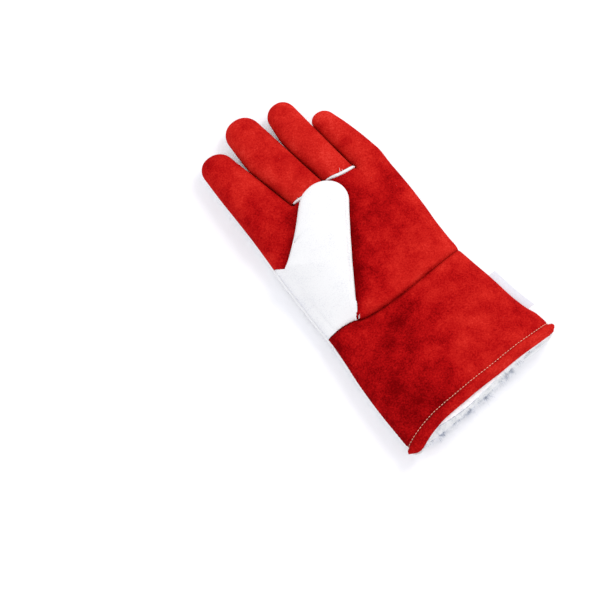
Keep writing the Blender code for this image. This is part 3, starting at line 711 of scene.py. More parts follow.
def strip_grids(strip, columns, rows, palm_side, hole=False, slot=0.0):
    """Outer and inner grid of points over one strip. slot draws its end back from the root."""
    across, along = np.meshgrid(columns, rows)
    web = np.clip(1 - (1 - along) * PALM_LENGTH / WEB_REACH, 0, 1)
    grids = []
    for depth in (0.0, LEATHER):
        grid = skin(strip, across, along, depth, palm_side, hole)
        grid[:, :, 1] -= slot * web ** 2
        grids.append(grid)
    return grids


# How high the palm puffs up beside the wrist seam, how far from it and over what reach, how deep it
# dives into the seam and over what reach, and where the thumb's side has no puff
PUFF = 0.0030
PUFF_PLACE = 0.0056
PUFF_REACH = 0.0050
DIVE = 0.0030
DIVE_REACH = 0.0014
THUMB_SIDE = -0.62


def wrist_puff(grid):
    """How far the palm stands out: it puffs over the wrist seam and dives into it."""
    x, y = grid[:, :, 0], grid[:, :, 1]
    left, right = side_seams(y)
    across = (2 * x - left - right) / (right - left)
    away = y - wrist_line(across)
    inside = arch(across, 3)
    gathers = 0.8 + 0.4 * slack_noise(x, 0 * y, 0.019, 71)
    dive = DIVE * bell(away, DIVE_REACH)
    past_thumb = ease((across - THUMB_SIDE) / 0.3)
    puff = PUFF * past_thumb * gathers * bell(away - PUFF_PLACE, PUFF_REACH)
    return inside * (puff - dive)


# How much lighter each finger's strip is drawn, and the palm near the wrist
FINGER_LIGHTENING = (0.03, 0.0, 0.0, 0.30)
WRIST_LIGHTENING = 0.14
STRIP_COLUMNS = close_at_edges(30)
palm = Sheet()
for strip, finger in enumerate(STRIPS):
    rows = palm_rows()
    welted = finger in ("middle", "ring")
    slot = welt_half(STRIP_COLUMNS) if welted else 0.0
    outer, inner = strip_grids(strip, STRIP_COLUMNS, rows, True, hole=strip == 0, slot=slot)
    near_wrist = WRIST_LIGHTENING * ease(1 - rows / 0.4)
    lighter = mix(near_wrist, FINGER_LIGHTENING[strip], ease((rows - 0.75) / 0.25))
    palm.lay(outer, inner, wrist_puff(outer), lighter[:, None])
    if not welted:
        palm.lay(*strip_grids(strip, STRIP_COLUMNS, finger_rows(), True), lighter=FINGER_LIGHTENING[strip])
palm = palm.sew("palm_suede", RED_SUEDE, dip=0.0001)
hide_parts("palm_panel")


# Fronts of the middle and the ring finger, of the same red split suede. Each is a cut piece of its
# own, sewn to the palm across the finger's root with a welt between the two.
FINGER_SUEDE = suede("red_suede_fingers", *SUEDE_REDS, brushed=0.36)
for strip in (STRIPS.index("middle"), STRIPS.index("ring")):
    across, along = np.meshgrid(STRIP_COLUMNS, np.maximum(finger_rows(), JUST_PAST_ROOT))
    slide = (welt_half(across) + SEAM_GAP) * (1 - ease(4 * (along - 1)))
    grids = []
    for depth in (0.0, LEATHER):
        grid = skin(strip, across, along, depth, True, inset=SEAM_GAP)
        grid[:, :, 1] += slide
        grids.append(grid)
    front = Sheet()
    front.lay(*grids)
    front = front.sew(STRIPS[strip] + "_finger_suede", FINGER_SUEDE, dip=0.0001)
    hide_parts(STRIPS[strip] + "_finger_front")


# Welts: narrow strips of white grain leather, folded once and caught in the seam at the roots of the
# middle and the ring finger. Their fold stands a little proud, and short thread ends stick out.
WELT_PROUD = 0.001
WELT_PROUD_UNEVEN = 0.25
WELT_WIDTH_UNEVEN = 0.12


def grain_leather(name):
    """White aniline leather: fine grain with faint specks and soft handling marks, and the painted shade
    and highlight that the mesh's tone attribute carries.
    """
    material, shader, tone = start_material(name, 0.62, Specular_IOR_Level=0.3)
    place = tone.node("TexCoord", {}, {}, "Object")
    specks = place.noise(0.0009, 3, 0.6)
    marks = place.noise(0.018, 3, 0.55)
    # The mesh's tone attribute: painted shade in grooves and along the thumb's side seam, a painted
    # highlight on the hem's roll, and the back's lighter tone
    painted_shade_and_tone = tone.node("Attribute", {"attribute_name": "brushed"}, {}, "Fac")
    shade = (specks - 0.5) * 1.0 + (marks - 0.5) * 0.4 + painted_shade_and_tone + 0.5
    colour = shade.ramp((0.0, (0.55, 0.56, 0.65)), (0.45, (0.87, 0.87, 0.86)), (0.8, (0.89, 0.89, 0.885)))
    pores = tone.node("TexVoronoi", {"feature": "F1"}, {"Vector": place, "Scale": 1 / 0.0008})
    height = pores * 0.5 + specks * 0.8 + place.noise(0.006, 3, 0.6) * 2.0
    paint(shader, colour, height, strength=0.35, distance=0.0004)
    return material


WHITE_LEATHER = grain_leather("white_leather")


def ring_sides(rows, sides):
    """Faces between rings of points that lie one after another."""
    faces = []
    for row in range(rows - 1):
        for k in range(sides):
            here, following = row * sides + k, row * sides + (k + 1) % sides
            faces.append([here, following, following + sides, here + sides])
    return faces


def ring_ends(rows, sides):
    """Faces that close the first and the last ring."""
    return [list(range(sides))[::-1], [(rows - 1) * sides + k for k in range(sides)]]


def unit(vectors):
    """The same directions, each with a length of 1."""
    return vectors / np.linalg.norm(vectors, axis=1)[:, None]


# A direction that no tube runs along, and how blunt a tube's ends are
NEVER_ALONG = (0.31, 0.17, 0.94)
BLUNT = 0.12


def tube(path, radius, sides=6):
    """Points and faces of a closed tube along a path, thinner at its ends."""
    path = np.asarray(path, float)
    ahead = unit(np.gradient(path, axis=0))
    side = unit(np.cross(ahead, NEVER_ALONG))
    up = np.cross(side, ahead)
    radii = radius * np.sqrt(np.clip(np.sin(np.linspace(BLUNT, np.pi - BLUNT, len(path))), 0, 1))
    turn = np.linspace(0, 2 * np.pi, sides, endpoint=False)
    ring = np.cos(turn)[None, :, None] * side[:, None] + np.sin(turn)[None, :, None] * up[:, None]
    positions = (path[:, None] + radii[:, None, None] * ring).reshape(-1, 3)
    return positions, ring_sides(len(path), sides) + ring_ends(len(path), sides)


def join_shapes(shapes):
    """Points and faces of many small shapes as one."""
    positions, faces, count = [], [], 0
    for some_positions, some_faces in shapes:
        positions.append(some_positions)
        faces += [[k + count for k in face] for face in some_faces]
        count += len(some_positions)
    return np.vstack(positions), faces


for strip in (STRIPS.index("middle"), STRIPS.index("ring")):
    turn = np.linspace(0, np.pi, 12)
    rings = []
    for across in np.linspace(0.05, 0.95, 60):
        half = max(welt_half(across) - SEAM_GAP / 2, 0.0002)
        half = half * (1 + WELT_WIDTH_UNEVEN * slack_noise(across, 0.0, 0.05, 31 + strip))
        proud = WELT_PROUD * (1 + WELT_PROUD_UNEVEN * slack_noise(across, 1.0, 0.09, 41 + strip))
        ring = []
        for angle in turn:
            depth = LEATHER - (LEATHER + proud) * np.sin(angle) ** 0.6
            x, _, z = skin(strip, np.array(across), np.array(JUST_PAST_ROOT), depth, True)
            ring.append((x, root_line(strip, across) + SEAM_GAP / 2 - half * np.cos(angle), z))
        rings.append(ring)
    rings = np.array(rings)
    faces = ring_sides(*rings.shape[:2]) + ring_ends(*rings.shape[:2])
    welt = make_piece(STRIPS[strip] + "_welt_leather", rings.reshape(-1, 3), faces, WHITE_LEATHER)
    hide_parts(STRIPS[strip] + "_finger_welt")


# Back of the hand with the backs of all four fingers, one piece of white grain leather. Sewn to the
# palm's edge all round. It lies on the table, so its middle is pressed flat.
BACK_HANG = 0.00025
BACK_LIGHTER = 0.25
back = Sheet()
for strip in range(len(STRIPS)):
    for rows in (palm_rows(), finger_rows()):
        outer, inner = strip_grids(strip, STRIP_COLUMNS, rows, False)
        x, y = outer[:, :, 0], outer[:, :, 1]
        hang = slack_noise(x, y, 0.03, 5) + 0.5 * slack_noise(x, y, 0.012, 6)
        back.lay(outer, inner, -BACK_HANG * (1.5 + hang), lighter=BACK_LIGHTER)
back = back.sew("back_leather", WHITE_LEATHER, dip=0.0010, dip_reach=0.0024)
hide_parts("back_panel")


# Thumb of white grain leather, cut in two. Its outer side wraps the side of the hand from the wrist
# seam to the index finger. The thumb is folded over, so that side is on top. The seam to its inner
# side runs a few millimetres in from the right-hand edge.
THUMB_LENGTH = 0.1115
THUMB_WIDTH = 0.050
THUMB_TURN = np.radians(38.6)
THUMB_CROWN = 0.010

# Lift of the thumb's edge over the palm at its base and where it is free, its gap to the palm, and the
# share of the base over which its sewn-down corner opens
THUMB_BASE_LIFT = 0.0045
THUMB_EDGE_LIFT = 0.008
THUMB_CLEARANCE = 0.0005
CORNER_OPENS_BY = 0.3

# Seam in from the right-hand edge, crease across the left side, and shade along the hand's side seam
THUMB_SEAM_IN = 0.0027
THUMB_SEAM_WIDTH = 0.0008
THUMB_SEAM_DEPTH = 0.0011
THUMB_CREASE = 0.0016
THUMB_CREASE_AT = 0.45
THUMB_CREASE_LEAN = 0.4
THUMB_CREASE_WIDTH = 0.02
THUMB_CREASE_REACH = 0.13
THUMB_SHADE = 0.3
THUMB_SHADE_REACH = 0.0055

# Shares at which the columns of the skin lie, those of the web beside it, and the rows of its base
THUMB_COLUMNS = close_at_edges(44)
THUMB_WEB_SHARES = np.linspace(0, 1, 19) ** 1.5
THUMB_BASE_SHARES = np.linspace(0, 1, 44)

# Edges of the free thumb as shares of its width, from the start of its axis (0) to the tip (1)
THUMB = Table("along left right",
              (0.246, -0.658, 0.61),
              (0.30, -0.60, 0.60),
              (0.37, -0.545, 0.59),
              (0.51, -0.47, 0.575),
              (0.60, -0.435, 0.57),
              (0.80, -0.37, 0.56),
              (1.00, -0.24, 0.56))
FREE_STATION = 0.246
FREE_OPENING = 0.15
FOLD_SHARE = 0.3
FREE_ROWS = mix(FREE_STATION, 1, np.sin(np.linspace(0, np.pi / 2, 80)))


def base_columns():
    """Shares of the palm's width of the thumb base's columns along the wrist, web then thumb."""
    corner = THUMB_HOLE.read("across", 0)
    web = mix(0, FOLD_SHARE * corner, THUMB_WEB_SHARES)
    return web, mix(web[-1], corner, THUMB_COLUMNS)


def palm_point(share, y):
    """Plan point at a share of the palm's width."""
    return np.array((mix(*side_seams(y), share), y))


def hole_edge(along):
    """Plan point on the edge of the palm's thumb hole."""
    x, y, _ = skin(0, np.array(0.0), np.array(along), 0.0, True, hole=True)
    return np.array((x, y))


def thumb_frame():
    """Start of the thumb's axis in plan, its direction, and the direction across it."""
    forward = np.array((np.sin(THUMB_TURN), np.cos(THUMB_TURN)))
    sideways = np.array((forward[1], -forward[0]))
    fold = hole_edge(FOLD_STATION)
    to_fold = FREE_STATION * THUMB_LENGTH * forward + THUMB.read("left", 0) * THUMB_WIDTH * sideways
    return fold - to_fold, forward, sideways


def thumb_edge(side, along):
    """Plan point on the left or right edge of the free thumb, before its tip is rounded."""
    start, forward, sideways = thumb_frame()
    return start + along * THUMB_LENGTH * forward + THUMB.read(side, along) * THUMB_WIDTH * sideways


def thumb_tip_round(along):
    """Share of the thumb's width and height that is left at a station, 0 at its tip."""
    width = (THUMB.read("right", 1) - THUMB.read("left", 1)) * THUMB_WIDTH
    start = 1 - width / 2 / THUMB_LENGTH
    return arch(np.clip((along - start) / (1 - start), 0, 1), TIP_OUTLINE)


def free_row(along, across, depth):
    """Plan points over the free thumb at a station, drawn in by depth."""
    left, right = thumb_edge("left", along), thumb_edge("right", along)
    middle, half = (left + right) / 2, (right - left) / 2
    half = half * (1 - depth / np.linalg.norm(half)) * thumb_tip_round(along)
    back_off = depth * ease((along - FREE_STATION) / (1 - FREE_STATION)) * thumb_frame()[1]
    return middle - back_off + np.outer(2 * across - 1, half)


def thumb_lift(along):
    """Height of the free thumb's edge over the palm."""
    return mix(THUMB_BASE_LIFT, THUMB_EDGE_LIFT, ease((along - FREE_STATION) / FREE_OPENING))


def corner_opening(share):
    """How far the thumb's right edge is open: sewn down at the wrist seam (0), free further up (1)."""
    return ease(share / CORNER_OPENS_BY)


def base_hang(along):
    """Share of its thickness that the thumb's back hangs below its edge: all at the base, then none."""
    return 1 - ease((along - FREE_STATION) / FREE_OPENING)


def base_plan(share):
    """Plan points of a row of the thumb's base, from the side seam over the fold to the right edge."""
    web, base = base_columns()
    along_wrist = np.concatenate((web, base[1:]))
    row = np.array([palm_point(k, wrist_line(2 * k - 1) + SEAM_GAP) for k in along_wrist])
    fold = hole_edge(FOLD_STATION) - np.array((0, SEAM_GAP))
    seam_end = hole_edge(HOLE_END_STATION) - np.array((0, 2 * SEAM_GAP))
    far_web = seam_end + np.outer(THUMB_WEB_SHARES, fold - seam_end)
    far_base = fold + np.outer(THUMB_COLUMNS, thumb_edge("right", FREE_STATION) - fold)
    row = mix(row, np.concatenate((far_web, far_base[1:])), share)
    on_seam = palm_point(0.0, row[0, 1]) - row[0]
    row[:len(web)] += np.outer(1 - THUMB_WEB_SHARES, on_seam)
    return row


def thumb_seam(row):
    """Groove of the seam that runs along the thumb's right-hand edge."""
    from_edge = np.linalg.norm(row - row[-1], axis=1) - THUMB_SEAM_IN
    groove = bell(from_edge, THUMB_SEAM_WIDTH)
    return -THUMB_SEAM_DEPTH * groove * (1 + 0.25 * np.sin(row[:, 1] * 2 * np.pi / STITCH_PITCH))


thumb_outer = Sheet()
across = THUMB_COLUMNS
web = THUMB_WEB_SHARES
edge_dome = arch(2 * across[1:] - 1, TIP_FULLNESS)
soft_dome = np.where(across[1:] < 0.5, np.sin(np.pi * across[1:]) ** 1.5, edge_dome)
base_grids, free_grids, base_relief, free_relief = [], [], [], []
for depth in (0.0, LEATHER):
    rows = []
    for share in THUMB_BASE_SHARES:
        row = base_plan(share)
        along_row = (row[-1] - row[0]) / np.linalg.norm(row[-1] - row[0])
        length = np.linalg.norm(row - row[0], axis=1) / np.linalg.norm(row[-1] - row[0])
        row = row + np.outer(depth * (1 - 2 * length), along_row)
        fold_lift = THUMB_BASE_LIFT * share ** 2
        dome = np.concatenate((0 * web, mix(soft_dome, edge_dome, share ** 3)))
        right_lift = THUMB_BASE_LIFT * corner_opening(share)
        lift = np.concatenate((fold_lift * web ** 2, mix(fold_lift, right_lift, ease(across[1:]))))
        z = top_height(row[:, 0], row[:, 1], depth) + lift + THUMB_CROWN * share ** 0.7 * dome
        rows.append(points(row[:, 0], row[:, 1], z))
        if depth == 0:
            base_relief.append(share * thumb_seam(row))
    base_grids.append(np.array(rows))
    rows = [rows[-1][len(web) - 1:]]
    if depth == 0:
        free_relief.append(base_relief[-1][len(web) - 1:])
    for along in FREE_ROWS[1:]:
        row = free_row(along, across, depth)
        hang = depth * base_hang(along)
        crown = (THUMB_CROWN - depth + hang) * thumb_tip_round(along) * arch(2 * across - 1, TIP_FULLNESS)
        z = top_height(row[:, 0], row[:, 1], hang) + thumb_lift(along) + crown
        rows.append(points(row[:, 0], row[:, 1], z))
        if depth == 0:
            seam = thumb_seam(row) * (1 - ease((along - 0.9) / 0.1))
            from_crease = along - THUMB_CREASE_AT - THUMB_CREASE_LEAN * across
            crease = bell(from_crease, THUMB_CREASE_WIDTH) * bell(across, THUMB_CREASE_REACH)
            free_relief.append(seam - THUMB_CREASE * crease)
    free_grids.append(np.array(rows))
from_seam = np.linalg.norm(base_grids[0] - base_grids[0][:, :1], axis=2)
shaded = THUMB_SHADE * bell(from_seam, THUMB_SHADE_REACH)
thumb_outer.lay(*base_grids, np.array(base_relief), -shaded)
thumb_outer.lay(*free_grids, np.array(free_relief))
thumb_outer.relax(rounds=200)
thumb_outer = thumb_outer.sew("thumb_outer_leather", WHITE_LEATHER, dip=0.0008, dip_reach=0.0018)
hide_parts("thumb_back")

# Painted shade on the palm beside the thumb, where the thumb shades it, strongest along its right-hand edge
PAINTED_THUMB_SHADE = 0.55
PAINTED_THUMB_SHADE_REACH = 0.010
left_edge = [line[0] for line in free_grids[0]]
right_edge = [line[-1] for grid in (base_grids[0], free_grids[0]) for line in grid]
thumb_outline = kdtree.KDTree(len(left_edge) + len(right_edge))
for number, (x, y, _) in enumerate(left_edge + right_edge):
    thumb_outline.insert((x, y, 0), number)
thumb_outline.balance()
nap = palm.data.attributes["brushed"].data
for vertex in palm.data.vertices:
    x, y, _ = np.array(vertex.co) + PATTERN_ORIGIN
    _, nearest, away = thumb_outline.find((x, y, 0))
    shade_by_thumb = PAINTED_THUMB_SHADE * (0.5 if nearest < len(left_edge) else 1)
    nap[vertex.index].value -= shade_by_thumb * bell(away, PAINTED_THUMB_SHADE_REACH)

thumb_inner = Sheet()
hole = np.array([hole_edge(FOLD_STATION * (1 - share)) for share in across])
stations = [(share, FREE_STATION) for share in np.linspace(0, 1, 30)[:-1]]
stations += [(1.0, along) for along in FREE_ROWS]
grids = []
for depth in (0.0, LEATHER):
    start = hole + free_row(FREE_STATION, across, depth) - free_row(FREE_STATION, across, 0.0)
    rows = []
    for share, along in stations:
        plan = mix(start, free_row(along, across, depth), share)
        edge_lift = thumb_lift(along) * mix(1, corner_opening(share), across ** 4)
        edge = edge_lift - SEAM_GAP - LEATHER * base_hang(along)
        hollow = arch(2 * across - 1, TIP_FULLNESS) * thumb_tip_round(along)
        z = top_height(plan[:, 0], plan[:, 1]) + edge - (edge - THUMB_CLEARANCE - depth) * hollow
        rows.append(points(plan[:, 0], plan[:, 1], z))
    grids.append(np.array(rows))
thumb_inner.lay(*grids)
thumb_inner = thumb_inner.sew("thumb_inner_leather", WHITE_LEATHER, dip=0.0)
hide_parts("thumb_front")


# Gauntlet cuff: a front of red split suede and a back of white grain leather, sewn together at the
# sides and to the hand at the wrist. Their hem is turned in and topstitched, so that it puffs into
# a soft roll between the stitches and the fold.
HEM_TURN = 0.0108
HEM_FOLD = 0.0006
HEM_PUFF = 0.0032
HEM_WAVE = 0.0009
# How much lighter the hem's roll is painted towards its fold: a painted highlight on the roll
HEM_ROLL_HIGHLIGHT = 0.20
BACK_LIP = 0.0015

# Topstitching, and how much it gathers the hide
HEM_STITCH_PITCH = 0.0032
HEM_GROOVE = 0.0009
HEM_GROOVE_WIDTH = 0.0016
HEM_GATHERS = 0.15

# The hem's rounded ends, and how its corner on the thumb's side droops
HEM_CORNER = 0.0058
CORNER_DROOP = 0.0085
CORNER_REACH = 0.42

# Steps round the fold, and the stations between the wrist and the stitches
HEM_FOLD_STEPS = 13
CUFF_STATIONS = mix(CUFF_LENGTH, HEM_TURN, np.linspace(0, 1, 76) ** 0.9)


def hem_path(puff):
    """Stations of the outer and the inner skin from the wrist, round the hem's fold, to its raw edge.

    Each station is a pair: how far from the hem's fold, and how deep under the outer face.
    """
    radius = LEATHER + HEM_FOLD / 2
    turn = np.linspace(0, 1, 20)[1:]
    outer = [(y, 0.0) for y in CUFF_STATIONS]
    inner = [(y, LEATHER) for y in CUFF_STATIONS]
    for share in turn[:-1]:
        y = mix(HEM_TURN, radius, share)
        outer.append((y, -puff * np.sin(np.pi * share)))
        inner.append((y, LEATHER - puff * np.sin(np.pi * share) / 2))
    for angle in np.linspace(0, np.pi, HEM_FOLD_STEPS):
        outer.append((radius * (1 - np.sin(angle)), radius * (1 - np.cos(angle))))
        inner.append((radius - HEM_FOLD / 2 * np.sin(angle), radius - HEM_FOLD / 2 * np.cos(angle)))
    outer.append((HEM_TURN, 2 * radius))
    inner.append((HEM_TURN, LEATHER + HEM_FOLD))
    return outer, inner


def cuff_row(away, depth, across, end, lip, palm_side):
    """Points across a cuff piece at a distance from its hem and a depth under its outer face."""
    stretch = ease((away - HEM_TURN) / (CUFF_LENGTH - HEM_TURN))
    droop = CORNER_DROOP * np.clip(1 - (1 + across) / CORNER_REACH, 0, 1) ** 1.7
    wave = HEM_WAVE * slack_noise(across, 0.0, 0.3, 61)
    y = away - (lip + droop + wave) * (1 - stretch) + (end - CUFF_LENGTH) * stretch
    left, right = side_seams(y)
    drawn_in = depth + HEM_CORNER * (1 - arch(np.clip(1 - away / HEM_CORNER, 0, 1), 2))
    x = mix(left + drawn_in, right - drawn_in, (across + 1) / 2)
    if palm_side:
        z = top_height(x, y, depth)
    else:
        z = SEAM_HEIGHT - SEAM_GAP / 2
        z = z - (z - depth) * back_drop(across, y)
        x = bulge_out(x, z, across, *body_bulges(y))
    return points(x, y, z)


def hem_relief(away, depth, across):
    """Groove of the hem's topstitching, gathered between the stitches, and of the wrist seam."""
    along_hem = across * HEM_WIDTH / 2
    gathers = 1 + HEM_GATHERS * np.sin(along_hem * 2 * np.pi / HEM_STITCH_PITCH)
    groove = -HEM_GROOVE * gathers * bell(away - HEM_TURN, HEM_GROOVE_WIDTH)
    wrist = -0.5 * DIVE * arch(across, 3) * bell(CUFF_LENGTH - away, DIVE_REACH)
    return groove * (depth <= LEATHER) + wrist


def cuff_piece(name, material, across, end, lip, puff, palm_side):
    """One side of the cuff, from the wrist seam round the hem's fold to its raw edge."""
    sheet = Sheet()
    outer_path, inner_path = hem_path(puff)
    outer = [cuff_row(away, depth, across, end, lip, palm_side) for away, depth in outer_path]
    inner = [cuff_row(away, depth, across, end, lip, palm_side) for away, depth in inner_path]
    turned_in = HEM_FOLD_STEPS + 1
    relief = [hem_relief(away, depth, across) for away, depth in outer_path[:-turned_in]]
    relief += [0 * across] * turned_in
    # The roll is painted lighter towards its fold, as a painted highlight
    lighter = [HEM_ROLL_HIGHLIGHT * ease(1.3 - away / HEM_TURN) + 0 * across for away, _ in outer_path]
    sheet.lay(np.array(outer), np.array(inner), np.array(relief), np.array(lighter))
    return sheet.sew(name, material)


CUFF_ACROSS = 2 * close_at_edges(130) - 1
# The cuff's suede is painted darker towards the thumb's side and lighter towards the little finger's:
# painted shade of the side away from the softbox
CUFF_SUEDE = suede("red_suede_cuff", *SUEDE_REDS, brushed=-0.04, lean=2.3)
cuff_front = cuff_piece("cuff_front_suede", CUFF_SUEDE, CUFF_ACROSS,
                        wrist_line(CUFF_ACROSS) - SEAM_GAP / 2, 0.0, HEM_PUFF, True)
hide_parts("cuff_front")
BACK_LIP_LINE = BACK_LIP * arch(CUFF_ACROSS, 2)
cuff_back = cuff_piece("cuff_back_leather", WHITE_LEATHER, CUFF_ACROSS,
                       CUFF_LENGTH - SEAM_GAP / 2, BACK_LIP_LINE, 0.0, False)
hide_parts("cuff_back")


# Loose ends of white sewing thread, cut off by hand after the seams were sewn. They stick out of the
# welts and where the thumb's corner meets the wrist seam.
THREAD_END_RADIUS = 0.00022


def cotton_thread(name, colour):
    """Twisted cotton, slightly uneven in colour."""
    material, shader, tone = start_material(name, 0.85)
    place = tone.node("TexCoord", {}, {}, "Object")
    shade = place.noise(0.0012, 2, 0.6)
    pale = tuple(min(1.0, part * 1.15) for part in colour)
    paint(shader, shade.ramp((0.3, colour), (0.7, pale)))
    return material


def thread_end(start, heading, length, seed):
    """Points and faces of one cut end of thread, curling a little."""
    random = np.random.default_rng(seed)
    share = np.linspace(0, 1, 9)[:, None]
    curl = random.normal(0, 0.4, 3)
    curl[2] = abs(curl[2])
    path = np.array(start) + (np.array(heading) * share + curl * share ** 2) * length
    return tube(path, THREAD_END_RADIUS, 5)


# Strip of each finger, share across its welt, and seed
WELT_THREADS = ((1, 0.08, 3),
                (1, 0.16, 4),
                (2, 0.42, 5),
                (2, 0.46, 6),
                (2, 0.55, 7),
                (2, 0.93, 8))

# Place along the wrist seam, from -1 to 1, and seed
CORNER_THREADS = ((-0.578, 9),
                  (-0.570, 12))
thread_shapes = []
for strip, place, seed in WELT_THREADS:
    x, y, z = skin(strip, np.array(place), np.array(JUST_PAST_ROOT), 0.0, True)
    thread_shapes.append(thread_end((x, y, z + 0.0004), (0.2, 0.8, 0.6), 0.0026, seed))
for share, seed in CORNER_THREADS:
    x = mix(*side_seams(wrist_line(share)), (share + 1) / 2)
    y = wrist_line(share) + 0.0008
    thread_shapes.append(thread_end((x, y, top_height(x, y) + 0.0008), (0.75, 0.45, 0.1), 0.0036, seed))
WHITE_THREAD = cotton_thread("white_thread", (0.80, 0.78, 0.76))
make_piece("thread_ends", *join_shapes(thread_shapes), WHITE_THREAD)


# Seam allowance of the wrist seam: the raw red edges of the palm and the cuff, turned in under the
# seam. It fills the crease, so that no gap shows between the two.
ALLOWANCE_WIDTH = 0.010
ALLOWANCE_UNDER = 0.0016
ALLOWANCE_THICK = 0.0008
allowance = Sheet()
over = np.linspace(-0.97, 0.97, 150)
rows = [cuff_row(CUFF_LENGTH + out, 0.0, over, wrist_line(over), 0.0, True)
        for out in np.linspace(-ALLOWANCE_WIDTH / 2, ALLOWANCE_WIDTH / 2, 9)]
rows = np.array(rows) - (0, 0, LEATHER + ALLOWANCE_UNDER)
allowance.lay(rows, rows - (0, 0, ALLOWANCE_THICK))
allowance = allowance.sew("wrist_seam_allowance", CUFF_SUEDE, dip=0.0)


# Topstitching of the hem: thick cream cotton thread, one lockstitch after another round the cuff,
# each pulled down into the hide at both ends.
STITCH_LENGTH = 0.0022
THREAD_RADIUS = 0.00030
THREAD_HUMP = 0.0006
THREAD_SUNK = 0.0008
STITCH_POINTS = 7
CREAM_THREAD = cotton_thread("cream_thread", (0.92, 0.56, 0.40))


def hem_stitches(palm_side):
    """The stitches of one side of the hem, spaced evenly along it."""
    across = np.linspace(-1, 1, 4001)
    lip = 0.0 if palm_side else BACK_LIP * arch(across, 2)
    end = wrist_line(across) if palm_side else CUFF_LENGTH
    line = cuff_row(HEM_TURN, 0.0, across, end, lip, palm_side)
    lift = np.gradient(line, axis=0)
    length = np.concatenate(((0,), np.cumsum(np.linalg.norm(np.diff(line, axis=0), axis=1))))
    normal = unit(np.stack((-lift[:, 2], 0 * across, lift[:, 0]), axis=1)) * (1 if palm_side else -1)
    shapes = []
    for start in np.arange(0.002, length[-1] - 0.004, HEM_STITCH_PITCH):
        stations = start + STITCH_LENGTH * np.linspace(0, 1, STITCH_POINTS)
        rise = THREAD_HUMP * np.sin(np.linspace(0, np.pi, STITCH_POINTS)) - THREAD_SUNK
        path = np.stack([np.interp(stations, length, line[:, k]) for k in range(3)], axis=1)
        out = np.stack([np.interp(stations, length, normal[:, k]) for k in range(3)], axis=1)
        shapes.append(tube(path + out * rise[:, None], THREAD_RADIUS))
    return shapes


all_stitches = hem_stitches(True) + hem_stitches(False)
make_piece("hem_stitches", *join_shapes(all_stitches), CREAM_THREAD)


# Lining of the cuff: a sleeve of white fleece, sewn in at the hem's stitches. Its raw edge stands out
# past the hem, most of all on the lower side.
FLEECE = 0.0035

# How far the lining's upper lip stands out past the hem, where across the mouth, and over what reach
TOP_LIP = 0.0045
TOP_LIP_AT = -0.35
TOP_LIP_REACH = 0.42

# How far the lining's lower lip stands out past the hem, across the mouth
LOWER_LIP = Table("across out",
                  (-1.00, 0.0030),
                  (-0.85, 0.0052),
                  (-0.65, 0.0060),
                  (0.00, 0.0046),
                  (0.37, 0.0006),
                  (0.66, -0.0040),
                  (0.88, -0.0020),
                  (1.00, 0.0000))


def fleece_finish(name, parting_shade, middle, full):
    """Curly white synthetic pile, painted a pale blue-grey shade where it parts.

    A faint glow stands for the light that passes through its fibres.
    """
    material, shader, tone = start_material(name, 0.95, Specular_IOR_Level=0.1, Emission_Strength=0.17)
    place = tone.node("TexCoord", {}, {}, "Object")
    shade = place.noise(0.005, 3, 0.6) * 0.7 + place.noise(0.0012, 2, 0.6) * 0.3
    colour = shade.ramp((0.32, parting_shade), (0.45, middle), (0.56, full))
    paint(shader, colour, shade, strength=0.6, distance=0.001)
    tone.feed(shader.inputs["Emission Color"], colour)
    return material


WHITE_FLEECE = fleece_finish("white_fleece", (0.58, 0.60, 0.64), (0.76, 0.77, 0.78), (0.86, 0.86, 0.86))
# A darker copy of the fleece for the fringe along the lower lip: painted shade on the pile's outer side
SHADED_FLEECE = fleece_finish("fleece_painted_shade", (0.16, 0.18, 0.26), (0.40, 0.43, 0.51), (0.78, 0.79, 0.83))


def lining_point(across, away, depth, lower):
    """Points of the lining at places across it, a distance from the hem and a depth."""
    level = arch(across, 2)
    band = TOP_LIP * level * bell(across - TOP_LIP_AT, TOP_LIP_REACH)
    mouth = np.where(lower, -LOWER_LIP.read("out", across), -band) + HEM_CORNER * (1 - arch(across, 8))
    # The lip is stretched out from the stitches, and nothing beyond them moves
    y = np.where(away < HEM_TURN, mix(mouth, HEM_TURN, away / HEM_TURN), away)
    left, right = side_seams(y)
    x = mix(left + depth, right - depth, (across + 1) / 2)
    rise = top_rise(x, y, depth)
    drop = (SEAM_HEIGHT - depth) * back_drop(across, y)
    return points(x, y, SEAM_HEIGHT + np.where(lower, -drop, rise))


over = 2 * close_at_edges(110) - 1
round_cuff = np.concatenate((over, over[::-1][1:]))
lower = np.arange(len(round_cuff)) >= len(over)
lining_end = mix(CUFF_LENGTH, HEM_TURN, (1 / 7) ** 0.8)
lining_rows = np.concatenate((np.linspace(0, HEM_TURN, 14)[:-1], np.linspace(HEM_TURN, lining_end, 46)))
grids = [np.array([lining_point(round_cuff, away, depth, lower) for away in lining_rows])
         for depth in (LINING_COVER, LINING_COVER + FLEECE)]
lining = Sheet()
lining.lay(*grids)
lining = lining.sew("fleece_lining", WHITE_FLEECE, dip=0.0)
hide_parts("cuff_lining")


# Pile of the lining's open mouth, drawn as short curved fibres that lean together in tufts, a fringe of
# finer ones along its lower lip in a darker fleece that is painted shade, and a dark grey thread along its
# upper edge that is a painted shadow line.
PILE_FIBRES = 16000
PILE_LENGTH = 0.0048
PILE_WIDTH = 0.00022
PILE_BELOW = 0.72
PILE_DEEP = HEM_TURN * 2.2
PILE_TURNS_OUT = 0.006
TUFT_SIZE = 0.0035
JUST_OVER_TABLE = 0.0002


